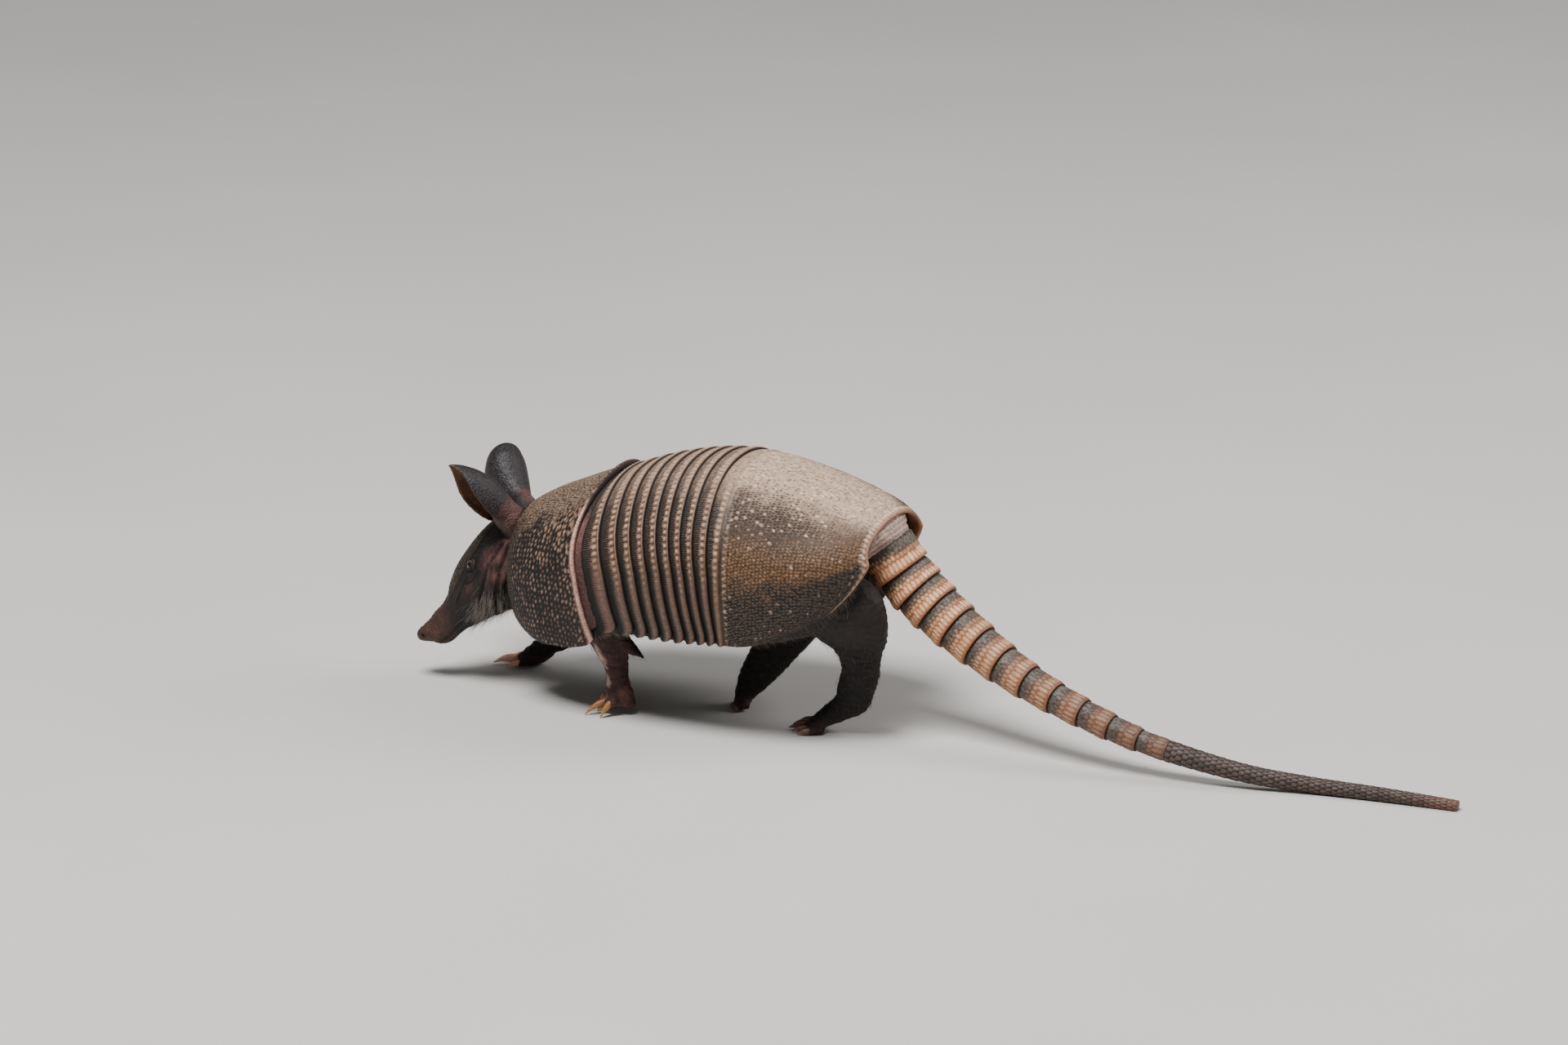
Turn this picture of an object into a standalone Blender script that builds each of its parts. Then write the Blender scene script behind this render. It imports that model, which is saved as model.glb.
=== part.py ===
"""A nine-banded armadillo in mid-stride, as a still, life-size model of an animal.

Every part of the body is one closed solid: the shields and bands of the shell, the rings of the tail,
the head with its ears and eyes, the trunk, and each leg with its foot and claws.
Lengths are metres.  The animal is designed facing -X with its left side towards -Y, the floor at z = 0
and x = 0 near the middle of the trunk, and is then shifted so that its box is centred over the origin.
"""
import math

import bmesh
import bpy
import numpy as np
from mathutils import Vector

# ---- Driving dimensions -------------------------------------------------------------------------------
GAP = 0.0004                     # air left between two solids that meet
PLATE_THICKNESS = 0.0028         # the shell's horn and bone
FLESH_DEPTH = 0.0046             # how far the trunk lies under the shell's outer face
NECK_SCALE = 0.90                # the neck's root against the trunk's front face
BAND_RISE = 0.0009               # how far a band's rear edge stands above its middle
SHELL_FULLNESS = 0.92            # below 1 makes the shoulders of the arch squarer

# The shell is a row of arches.  Each knot is (station along the flank, value).
SHIELD_FRONT = -0.084
SHIELD_REAR = -0.0272
BAND_EDGES = (-0.0225, -0.0085, 0.0037, 0.0132, 0.0223, 0.0313, 0.0397, 0.0478, 0.0560, 0.0657)
BANDS_REAR = BAND_EDGES[-1]
SHELL_END = 0.160
SHELL_TOP = ((-0.086, 0.119), (-0.07, 0.1286), (-0.05, 0.1375), (-0.036, 0.1434), (-0.0272, 0.1462),
             (-0.0225, 0.1472), (-0.0155, 0.1478), (-0.0085, 0.1486), (0.0037, 0.1525), (0.0132, 0.1559),
             (0.0223, 0.1587), (0.0313, 0.1611), (0.0478, 0.1643), (0.0657, 0.1655), (0.08, 0.1640),
             (0.10, 0.1597), (0.12, 0.1533), (0.135, 0.1474), (0.150, 0.1411), (0.160, 0.1365))
SHELL_HALF_WIDTH = ((-0.086, 0.035), (-0.078, 0.044), (-0.065, 0.054), (-0.045, 0.0625), (-0.02, 0.0685),
                    (0.02, 0.0725), (0.06, 0.0755), (0.10, 0.0750), (0.12, 0.0720), (0.14, 0.0650),
                    (0.152, 0.0560), (0.160, 0.0460))
SHELL_WIDE_LEVEL = ((-0.086, 0.082), (-0.06, 0.083), (-0.03, 0.095), (0.02, 0.104), (0.07, 0.108),
                    (0.11, 0.109), (0.135, 0.112), (0.150, 0.116), (0.160, 0.1185))
SHELL_LOW_EDGE = ((-0.086, 0.052), (-0.075, 0.0455), (-0.066, 0.0424), (-0.06, 0.0423), (-0.055, 0.0431),
                  (-0.05, 0.0438), (-0.046, 0.0443), (-0.042, 0.0455), (-0.038, 0.0467), (-0.034, 0.0482),
                  (-0.03, 0.0505), (-0.0272, 0.0542), (-0.02, 0.0598), (-0.012, 0.0609), (0.0, 0.0611),
                  (0.03, 0.0612), (0.05, 0.0622), (0.066, 0.0628), (0.075, 0.0630), (0.09, 0.0640),
                  (0.112, 0.0715), (0.128, 0.0790), (0.143, 0.0897), (0.154, 0.1010), (0.160, 0.1105))
SHELL_WRAP = ((-0.086, 132.0), (-0.06, 126.0), (-0.03, 118.0), (0.10, 115.0), (0.135, 112.0),
              (0.150, 107.0), (0.160, 102.0))
SHELL_TOP_LEAN = ((-0.086, 0.004), (-0.05, 0.006), (-0.0272, 0.006), (-0.0225, 0.004), (-0.0085, -0.006),
                  (0.0037, -0.008), (0.0132, -0.0083), (0.0313, -0.0078), (0.0478, -0.0065),
                  (0.0657, -0.005), (0.08, -0.0038), (0.10, -0.0012), (0.12, 0.0), (0.160, 0.0))
SHELL_LOW_SWEEP = ((-0.086, 0.002), (-0.05, 0.009), (-0.0272, 0.0125), (-0.0085, 0.013),
                   (0.0223, 0.012), (0.0478, 0.011), (0.056, 0.0095), (0.0657, 0.006),
                   (0.0757, 0.002), (0.09, 0.0), (0.136, 0.0), (0.150, 0.0014), (0.160, 0.0052))

# Belly: lowest level under the trunk, by station.
TRUNK_FRONT = -0.0745
TRUNK_REAR = 0.154
BELLY_LEVEL = ((-0.08, 0.047), (-0.05, 0.045), (0.0, 0.0520), (0.06, 0.0545), (0.10, 0.057),
               (0.13, 0.064), (0.15, 0.077), (0.16, 0.088))

# Head: a row of sections from the nape (0) to the nose (1), each set by its top and bottom points.
HEAD_TOP_X = ((0.0, -0.089), (0.12, -0.099), (0.25, -0.1105), (0.38, -0.1215), (0.5, -0.1298),
              (0.62, -0.1352), (0.72, -0.1395), (0.82, -0.1462), (0.92, -0.1525), (1.0, -0.1560))
HEAD_TOP_Z = ((0.0, 0.1135), (0.12, 0.1090), (0.25, 0.1000), (0.38, 0.0862), (0.5, 0.0725),
              (0.62, 0.0575), (0.72, 0.0475), (0.82, 0.0408), (0.92, 0.0340), (1.0, 0.0282))
HEAD_LOW_X = ((0.0, -0.088), (0.12, -0.0945), (0.25, -0.1025), (0.38, -0.110), (0.5, -0.1165),
              (0.62, -0.1225), (0.72, -0.1275), (0.82, -0.1340), (0.92, -0.1420), (1.0, -0.1500))
HEAD_LOW_Z = ((0.0, 0.0485), (0.12, 0.0475), (0.25, 0.0445), (0.38, 0.0400), (0.5, 0.0365),
              (0.62, 0.0330), (0.72, 0.0290), (0.82, 0.0240), (0.92, 0.0225), (1.0, 0.0250))
HEAD_HALF_WIDTH = ((0.0, 0.0255), (0.12, 0.0260), (0.25, 0.0245), (0.38, 0.0215), (0.5, 0.0180),
                   (0.62, 0.0138), (0.72, 0.0112), (0.82, 0.0098), (0.92, 0.0086), (1.0, 0.0050))
HEAD_Y = ((0.0, -0.0015), (1.0, -0.0150))
HEAD_YAW = 11.0                  # degrees that the head turns to its own left
HEAD_EGG = 0.12                  # how much narrower the head is above its middle than below
HEAD_END = 0.66                  # where the head stops and the bare snout starts
SNOUT_PLACES = (0.664, 0.72, 0.78, 0.84, 0.90, 0.96, 0.985)
HEAD_SHIELD_SPAN = (0.10, 0.64)
HEAD_SHIELD_HALF_ANGLE = ((0.0, 8.0), (0.2, 13.0), (0.3, 30.0), (0.40, 42.0), (0.55, 46.0), (0.7, 40.0))
HEAD_SHIELD_RISE = 0.0016
EYE_AT = (0.36, -52.0)           # place along the head, degrees from its top
EYE_RADIUS = 0.0040
EYE_SINK = 0.0021

EAR_LENGTH = 0.048
EAR_RADIUS = 0.0122
EAR_WALL = 0.0013
EAR_BEND = 0.42                  # how far the ear's line arches, against its length
EAR_RADIUS_SHARE = ((-0.2, 0.55), (0.0, 0.70), (0.25, 0.92), (0.5, 1.0), (0.75, 0.82), (0.92, 0.46),
                    (1.0, 0.14))
EAR_HALF_WRAP = ((-0.2, 150.0), (0.0, 140.0), (0.3, 112.0), (0.6, 92.0), (1.0, 60.0))

# Tail: its middle line, and its radius by distance along it.
TAIL_LINE = ((0.1480, 0.0, 0.1290), (0.1580, 0.0, 0.1150), (0.1665, 0.0, 0.1035), (0.1765, -0.0003, 0.0925),
             (0.1884, -0.0013, 0.0826), (0.2190, -0.0062, 0.0627), (0.2572, -0.0150, 0.0450),
             (0.2959, -0.0237, 0.0325), (0.3330, -0.0285, 0.0220), (0.3714, -0.0290, 0.0140),
             (0.4050, -0.0272, 0.0086), (0.4380, -0.0225, 0.0054), (0.4850, -0.0200, 0.0040),
             (0.5330, -0.0200, 0.0028))
TAIL_START = 0.0185
TAIL_ROOT_RADIUS = 0.0188
TAIL_RING_STEPS = (0.0150, 0.0155, 0.0158, 0.0172, 0.0186, 0.0196, 0.0206, 0.0210, 0.0206, 0.0204,
                   0.0196, 0.0190)
RING_PROFILE = ((0.0, 0.92), (0.64, 0.955), (0.70, 1.03), (1.0, 1.03))   # share of its length, of its radius
TAIL_CLEARANCE = 0.06            # length of tail that the trunk and hind legs keep clear of
TAIL_RADIUS = ((0.0, 0.0186), (0.03, 0.0182), (0.06, 0.0164), (0.10, 0.0132), (0.14, 0.0104),
               (0.18, 0.0086), (0.22, 0.0066), (0.27, 0.0054), (0.32, 0.0046), (0.38, 0.0038),
               (0.44, 0.0026), (0.46, 0.0020))

EARS = {
    "left": {"base": (-0.0930, -0.0185, 0.1140), "lengthwise": (-0.0315, -0.0180, 0.0345),
             "opening": (-0.45, -0.76, -0.57)},
    "right": {"base": (-0.0960, 0.0165, 0.1115), "lengthwise": (-0.0250, 0.0270, 0.0225),
              "opening": (-0.50, 0.80, -0.20)},
}

# Legs: joints of the leg and of the palm, with half depth and half width at each; then the way the foot
# points, and for each toe its place sideways, its fan, its length and its claw's length.
ELBOW_RADII = (0.0060, 0.0042, 0.0007)
CLAW_TAPER = (0.80, 0.62, 0.20)
CLAW_ARCH = 0.10
TOE_ROOT = 0.003                 # how far a toe runs back into the palm
LIMBS = {
    "front_left": {
        "leg": ((-0.0200, -0.0370, 0.0800), (-0.0160, -0.0370, 0.0560), (-0.0125, -0.0365, 0.0430),
                (-0.0095, -0.0360, 0.0300), (-0.0088, -0.0360, 0.0205)),
        "leg_radii": ((0.0180, 0.0140), (0.0155, 0.0130), (0.0118, 0.0105), (0.0076, 0.0078),
                      (0.0074, 0.0074)),
        "elbow": ((-0.0080, -0.0370, 0.0480), (0.0005, -0.0385, 0.0440), (0.0105, -0.0400, 0.0392)),
        "palm": ((-0.0088, -0.0360, 0.0201), (-0.0084, -0.0362, 0.0160), (-0.0092, -0.0368, 0.0110),
                 (-0.0112, -0.0375, 0.0072)),
        "palm_radii": ((0.0074, 0.0074), (0.0080, 0.0080), (0.0078, 0.0088), (0.0046, 0.0078)),
        "forward": (-0.85, -0.53),
        "toes": ((0.0072, 0.30, 0.0045, 0.0060), (0.0023, 0.05, 0.0060, 0.0125),
                 (-0.0025, -0.05, 0.0046, 0.0050), (-0.0072, -0.30, 0.0040, 0.0042)),
        "toe_levels": (0.0088, 0.0074), "toe_radius": 0.0026, "claw_level": 0.0,
    },
    "front_right": {
        "leg": ((-0.0400, 0.0290, 0.0600), (-0.0520, 0.0300, 0.0420), (-0.0650, 0.0320, 0.0275),
                (-0.0780, 0.0340, 0.0190), (-0.0862, 0.0345, 0.0145)),
        "leg_radii": ((0.0130, 0.0105), (0.0120, 0.0105), (0.0095, 0.0092), (0.0080, 0.0082),
                      (0.0074, 0.0076)),
        "palm": ((-0.0865, 0.0345, 0.0142), (-0.0908, 0.0338, 0.0096), (-0.0960, 0.0325, 0.0062),
                 (-0.1005, 0.0310, 0.0044)),
        "palm_radii": ((0.0074, 0.0076), (0.0076, 0.0082), (0.0070, 0.0086), (0.0052, 0.0078)),
        "forward": (-0.96, -0.28),
        "toes": ((0.0072, 0.25, 0.0045, 0.0070), (0.0023, 0.04, 0.0060, 0.0150),
                 (-0.0025, -0.04, 0.0058, 0.0135), (-0.0072, -0.25, 0.0040, 0.0070)),
        "toe_levels": (0.0034, 0.0028), "toe_radius": 0.0026, "claw_level": 0.0008,
    },
    "hind_left": {
        "leg": ((0.1330, -0.0340, 0.0960), (0.1430, -0.0345, 0.0830), (0.1500, -0.0325, 0.0680),
                (0.1510, -0.0295, 0.0550), (0.1495, -0.0255, 0.0410), (0.1455, -0.0225, 0.0300)),
        "leg_radii": ((0.0180, 0.0170), (0.0260, 0.0180), (0.0208, 0.0155), (0.0140, 0.0125),
                      (0.0120, 0.0105), (0.0122, 0.0095)),
        "palm": ((0.1453, -0.0223, 0.0296), (0.1430, -0.0212, 0.0230), (0.1365, -0.0202, 0.0165),
                 (0.1272, -0.0208, 0.0100), (0.1190, -0.0225, 0.0042)),
        "palm_radii": ((0.0122, 0.0095), (0.0116, 0.0090), (0.0086, 0.0085), (0.0066, 0.0095),
                       (0.0046, 0.0100)),
        "forward": (-0.94, -0.33),
        "toes": ((0.0100, 0.22, 0.0045, 0.0070), (0.0052, 0.10, 0.0062, 0.0085),
                 (0.0002, 0.00, 0.0072, 0.0095), (-0.0050, -0.10, 0.0060, 0.0085),
                 (-0.0098, -0.22, 0.0042, 0.0070)),
        "toe_levels": (0.0026, 0.0024), "toe_radius": 0.0027, "claw_level": 0.0007,
    },
    "hind_right": {
        "leg": ((0.1060, 0.0300, 0.0820), (0.0950, 0.0255, 0.0640), (0.0845, 0.0205, 0.0480),
                (0.0755, 0.0150, 0.0350), (0.0690, 0.0095, 0.0240)),
        "leg_radii": ((0.0180, 0.0170), (0.0165, 0.0150), (0.0152, 0.0130), (0.0138, 0.0105),
                      (0.0118, 0.0085)),
        "palm": ((0.0692, 0.0092, 0.0236), (0.0645, 0.0055, 0.0160), (0.0615, 0.0025, 0.0095),
                 (0.0600, 0.0010, 0.0050)),
        "palm_radii": ((0.0125, 0.0085), (0.0096, 0.0082), (0.0068, 0.0084), (0.0050, 0.0086)),
        "forward": (-0.90, -0.30),
        "toes": ((0.0080, 0.22, 0.0024, 0.0030), (0.0041, 0.10, 0.0028, 0.0040),
                 (0.0001, 0.00, 0.0032, 0.0045), (-0.0041, -0.10, 0.0028, 0.0040),
                 (-0.0080, -0.22, 0.0022, 0.0030)),
        "toe_levels": (0.0036, 0.0021), "toe_radius": 0.0023, "claw_level": 0.0004,
    },
}

SHELL_TURNS = 20                 # facets round the back
BODY_SIDES = 20                  # points round the trunk, neck and head
SHELL_SIDES = 13                 # how many of those points lie under the shell
TAIL_SIDES = 12
TAIL_TIP_SIDES = 10
TAIL_TIP_RINGS = 13

# ---- Colours: red, green, blue, roughness --------------------------------------------------------------
SHIELD_BROWN = (0.060, 0.042, 0.033, 0.55)
BAND_BROWN = (0.085, 0.062, 0.050, 0.50)
PELVIS_TAN = (0.150, 0.110, 0.082, 0.60)
HEAD_BROWN = (0.050, 0.036, 0.032, 0.55)
SKIN_BROWN = (0.090, 0.055, 0.048, 0.60)
SNOUT_PINK = (0.200, 0.100, 0.070, 0.50)
EAR_GREY = (0.060, 0.050, 0.052, 0.50)
TAIL_TAN = (0.190, 0.115, 0.075, 0.50)
TAIL_DARK = (0.050, 0.038, 0.032, 0.55)
LEG_BROWN = (0.055, 0.036, 0.028, 0.65)
CLAW_HORN = (0.340, 0.210, 0.110, 0.35)
EYE_BLACK = (0.010, 0.008, 0.008, 0.08)


def along(knots, at):
    """Value at a place on the smooth curve through (place, value) knots (cubic with central slopes)."""
    places = np.array([knot[0] for knot in knots])
    values = np.array([knot[1] for knot in knots])
    at = np.asarray(at, dtype=float)
    slopes = np.gradient(values, places)
    cell = np.clip(np.searchsorted(places, at) - 1, 0, len(places) - 2)
    width = places[cell + 1] - places[cell]
    t = np.clip((at - places[cell]) / width, 0.0, 1.0)
    start = (1 + 2 * t) * (1 - t) ** 2 * values[cell] + t * (1 - t) ** 2 * width * slopes[cell]
    finish = t * t * (3 - 2 * t) * values[cell + 1] + t * t * (t - 1) * width * slopes[cell + 1]
    return start + finish


def unit(vectors):
    """The same vectors with length one."""
    vectors = np.asarray(vectors, dtype=float)
    return vectors / np.linalg.norm(vectors, axis=-1, keepdims=True)


# ---- Blender helpers -----------------------------------------------------------------------------------
def finish(name, color):
    """A Principled material with the colour and roughness of one part."""
    material = bpy.data.materials.new(name)
    material.use_nodes = True
    shader = material.node_tree.nodes["Principled BSDF"]
    shader.inputs["Base Color"].default_value = (*color[:3], 1.0)
    shader.inputs["Roughness"].default_value = color[3]
    shader.inputs["Metallic"].default_value = 0.0
    return material


def add_object(name, mesh, color):
    """Link a mesh as a named part of the animal, with its own material."""
    mesh.materials.append(finish(name, color))
    mesh.shade_smooth()
    mesh.set_sharp_from_angle(angle=math.radians(40))
    part = bpy.data.objects.new(name, mesh)
    bpy.context.scene.collection.objects.link(part)
    part.parent = ANIMAL
    return part


def rings_mesh(name, rings):
    """Skin a row of closed rings of points with quads, and close each end with a fan about its middle."""
    rings = np.asarray(rings, dtype=float)
    shape = bmesh.new()
    rows = [[shape.verts.new(point) for point in ring] for ring in rings]
    sides = len(rows[0])
    for row, following in zip(rows, rows[1:]):
        for side in range(sides):
            after = (side + 1) % sides
            shape.faces.new((row[side], row[after], following[after], following[side]))
    for row in (rows[0], rows[-1]):
        middle = shape.verts.new(sum((vert.co for vert in row), Vector()) / sides)
        for side in range(sides):
            shape.faces.new((row[side], row[(side + 1) % sides], middle))
    bmesh.ops.recalc_face_normals(shape, faces=shape.faces)
    mesh = bpy.data.meshes.new(name)
    shape.to_mesh(mesh)
    shape.free()
    return mesh


def sheet_mesh(name, outer, inner):
    """Close two matching grids of points, the outer and the inner face of a plate, into one solid."""
    rows, columns = outer.shape[:2]
    shape = bmesh.new()
    top = [[shape.verts.new(point) for point in line] for line in outer]
    low = [[shape.verts.new(point) for point in line] for line in inner]
    for row in range(rows - 1):
        for column in range(columns - 1):
            for grid in (top, low):
                shape.faces.new((grid[row][column], grid[row][column + 1],
                                 grid[row + 1][column + 1], grid[row + 1][column]))
    border = [(row, 0) for row in range(rows)]
    border += [(rows - 1, column) for column in range(1, columns)]
    border += [(row, columns - 1) for row in range(rows - 2, -1, -1)]
    border += [(0, column) for column in range(columns - 2, 0, -1)]
    for here, there in zip(border, border[1:] + border[:1]):
        shape.faces.new((top[here[0]][here[1]], top[there[0]][there[1]],
                         low[there[0]][there[1]], low[here[0]][here[1]]))
    bmesh.ops.recalc_face_normals(shape, faces=shape.faces)
    mesh = bpy.data.meshes.new(name)
    shape.to_mesh(mesh)
    shape.free()
    return mesh


def add_cutter(name, mesh):
    """A guide solid that only cuts its neighbours."""
    cutter = bpy.data.objects.new(name, mesh)
    bpy.context.scene.collection.objects.link(cutter)
    cutter.parent = ANIMAL
    cutter.hide_render = True
    cutter.display_type = "WIRE"
    return cutter


def combine(part, other, operation):
    """Join or cut a part with another solid, by an exact Boolean."""
    step = part.modifiers.new(operation.title() + " " + other.name, "BOOLEAN")
    step.operation = operation
    step.object = other
    step.solver = "EXACT"


# ---- The shell -----------------------------------------------------------------------------------------
def shell_point(station, turn):
    """Point of the shell's outer face: an arch across the back, from the left edge (-1) to the right (1)."""
    angle = np.radians(turn * along(SHELL_WRAP, station))
    rise = np.cos(angle)
    side = np.sin(angle)
    level = along(SHELL_WIDE_LEVEL, station)
    low_reach = (level - along(SHELL_LOW_EDGE, station)) / -np.cos(np.radians(along(SHELL_WRAP, station)))
    reach = np.where(rise > 0, along(SHELL_TOP, station) - level, low_reach)
    lean = np.where(rise > 0, along(SHELL_TOP_LEAN, station) * rise ** 2, 0.0)
    drop = np.clip(np.abs(turn) * 1.8 - 0.8, 0.0, 1.0)
    x = station + lean + along(SHELL_LOW_SWEEP, station) * drop ** 2
    y = along(SHELL_HALF_WIDTH, station) * np.sign(side) * np.abs(side) ** SHELL_FULLNESS
    z = level + reach * rise
    return np.stack(np.broadcast_arrays(x, y, z), axis=-1)


def shell_normal(station, turn):
    """Direction that leaves the shell at a point."""
    step = 1e-4
    lengthwise = shell_point(station + step, turn) - shell_point(station - step, turn)
    across = shell_point(station, turn + step) - shell_point(station, turn - step)
    return unit(np.cross(across, -lengthwise))


def shell_plate(name, stations, lifts, color):
    """One plate of the shell over a row of stations, each with its own lift off the smooth arch."""
    station, turn = np.meshgrid(stations, np.linspace(-1.0, 1.0, SHELL_TURNS + 1))
    lift = np.asarray(lifts)[None, :, None]
    normal = shell_normal(station, turn)
    surface = shell_point(station, turn)
    outer = surface + normal * lift
    inner = surface + normal * (lift - PLATE_THICKNESS)
    return add_object(name, sheet_mesh(name, outer, inner), color)


def build_shell():
    """The shield over the shoulders, nine bands and the shield over the hips."""
    front = np.linspace(SHIELD_FRONT, SHIELD_REAR, 7)
    shell_plate("scapular_shield", front, np.linspace(0.0, BAND_RISE, 7), SHIELD_BROWN)
    edges = np.array(BAND_EDGES)
    edges[0] = SHIELD_REAR
    for number, (start, end) in enumerate(zip(edges, edges[1:]), 1):
        shell_plate(f"band_{number}", (start + GAP, end), (-BAND_RISE, BAND_RISE), BAND_BROWN)
    rear = BANDS_REAR + GAP + (SHELL_END - BANDS_REAR - GAP) * np.linspace(0.0, 1.0, 10) ** 0.85
    shell_plate("pelvic_shield", rear, np.full(10, -BAND_RISE * 0.5), PELVIS_TAN)


# ---- Trunk and neck ------------------------------------------------------------------------------------
def trunk_ring(station, inset):
    """Closed ring of the trunk at a station: an arch under the shell, closed by the belly."""
    turn = np.linspace(-1.0, 1.0, SHELL_SIDES)
    arch = shell_point(station, turn) - shell_normal(station, turn) * inset
    belly_sides = BODY_SIDES - SHELL_SIDES
    sweep = np.linspace(0.0, math.pi, belly_sides + 2)[1:-1]
    low = arch[-1, 2] - along(BELLY_LEVEL, station)
    belly = np.stack([np.full(belly_sides, arch[-1, 0]),
                      arch[-1, 1] * np.cos(sweep),
                      arch[-1, 2] - (low + FLESH_DEPTH - inset) * np.sin(sweep)], axis=-1)
    return np.concatenate([arch, belly])


def build_trunk():
    """The flesh under the shell, with a recess for the root of the tail."""
    stations = np.linspace(TRUNK_FRONT, TRUNK_REAR, 15)
    rings = [trunk_ring(station, FLESH_DEPTH) for station in stations] + [tail_root(TAIL_ROOT_RADIUS)]
    trunk = add_object("trunk", rings_mesh("trunk", rings), SKIN_BROWN)
    wider = [trunk_ring(station, FLESH_DEPTH - GAP) for station in stations]
    wider.append(tail_root(TAIL_ROOT_RADIUS + GAP))
    for ring in wider[-2:]:
        ring[:, 0] += 2 * GAP
    clearance = add_cutter("trunk_clearance", rings_mesh("trunk_clearance", wider))
    return trunk, clearance


def ring_degrees():
    """Degrees from the top of the points round the trunk, neck and head: under the shell, then below."""
    upper = np.linspace(-120.0, 120.0, SHELL_SIDES)
    lower = np.linspace(120.0, 240.0, BODY_SIDES - SHELL_SIDES + 2)[1:-1]
    return np.concatenate([upper, lower])


def tail_root(radius):
    """Closed ring of skin round the root of the tail, where the trunk ends."""
    middle, _, side, up = tail_frame(TAIL_START - 2 * GAP)
    angle = np.radians(ring_degrees())[:, None]
    return middle + radius * (up * np.cos(angle) - side * np.sin(angle))


def head_ring(place, inset=0.0):
    """Closed ring of the head: an egg-shaped section between its top and its bottom point."""
    return head_point(place, ring_degrees()) - inset * head_normal(place, ring_degrees())


def head_point(place, degrees):
    """Point of the head's skin: place from the nape (0) to the nose (1), degrees from the top."""
    angle = np.radians(degrees)
    top = np.stack(np.broadcast_arrays(along(HEAD_TOP_X, place), along(HEAD_Y, place),
                                       along(HEAD_TOP_Z, place)), axis=-1)
    low = np.stack(np.broadcast_arrays(along(HEAD_LOW_X, place), along(HEAD_Y, place),
                                       along(HEAD_LOW_Z, place)), axis=-1)
    middle = (top + low) / 2
    yaw = math.radians(HEAD_YAW)
    aside = np.array([-math.sin(yaw), math.cos(yaw), 0.0])
    egg = 1.0 - HEAD_EGG * np.cos(angle)
    width = (along(HEAD_HALF_WIDTH, place) * np.sin(angle) * egg)[..., None]
    return middle + (top - low) / 2 * np.cos(angle)[..., None] + aside * width


def head_normal(place, degrees):
    """Direction that leaves the head at a point."""
    step = 1e-3
    lengthwise = head_point(place + step, degrees) - head_point(place - step, degrees)
    across = head_point(place, degrees + 1.0) - head_point(place, degrees - 1.0)
    return unit(np.cross(across, lengthwise))


def neck_rings(scale, head_inset):
    """Rings of the short neck, from the trunk's front face to the nape."""
    face = trunk_ring(TRUNK_FRONT, FLESH_DEPTH)
    middle = face.mean(axis=0)
    start = middle + (face - middle) * scale - np.array([GAP, 0.0, 0.0])
    end = head_ring(0.0, head_inset) + np.array([GAP, 0.0, 0.0])
    return [start, (start + end) / 2, end]


def build_neck():
    """The neck, folded short between the shell and the head."""
    return add_object("neck", rings_mesh("neck", neck_rings(NECK_SCALE, 0.0)), SKIN_BROWN)


# ---- Head ----------------------------------------------------------------------------------------------
def build_head():
    """Head, bare snout, the scaly shield on the forehead, and the eyes."""
    places = np.linspace(0.0, HEAD_END, 11)
    head = add_object("head", rings_mesh("head", [head_ring(place) for place in places]), HEAD_BROWN)
    wider = neck_rings(NECK_SCALE * 1.02, -3 * GAP)[:-1] + [head_ring(place, -GAP) for place in places]
    wider[0] = wider[0] + np.array([4 * GAP, 0.0, 0.0])
    clearance = add_cutter("head_clearance", rings_mesh("head_clearance", wider))
    snout = [head_ring(place) for place in SNOUT_PLACES]
    add_object("snout", rings_mesh("snout", snout), SNOUT_PINK)

    place = np.linspace(*HEAD_SHIELD_SPAN, 9)[None, :]
    degrees = np.linspace(-1.0, 1.0, 7)[:, None] * along(HEAD_SHIELD_HALF_ANGLE, place)
    place = np.broadcast_to(place, degrees.shape)
    skin = head_point(place, degrees)
    normal = head_normal(place, degrees)
    shield = sheet_mesh("head_shield", skin + normal * HEAD_SHIELD_RISE, skin + normal * GAP)
    add_object("head_shield", shield, HEAD_BROWN)

    for name, side in (("eye_left", 1.0), ("eye_right", -1.0)):
        point = head_point(EYE_AT[0], side * EYE_AT[1])
        centre = point - EYE_SINK * head_normal(EYE_AT[0], side * EYE_AT[1])
        add_object(name, ball_mesh(name, centre, EYE_RADIUS), EYE_BLACK)
        socket = add_cutter(name + "_socket", ball_mesh(name + "_socket", centre, EYE_RADIUS + GAP))
        combine(head, socket, "DIFFERENCE")
    return head, clearance


def ball_mesh(name, centre, radius):
    """A small ball."""
    shape = bmesh.new()
    bmesh.ops.create_icosphere(shape, subdivisions=2, radius=radius)
    bmesh.ops.translate(shape, verts=shape.verts, vec=Vector(centre))
    mesh = bpy.data.meshes.new(name)
    shape.to_mesh(mesh)
    shape.free()
    return mesh


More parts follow.
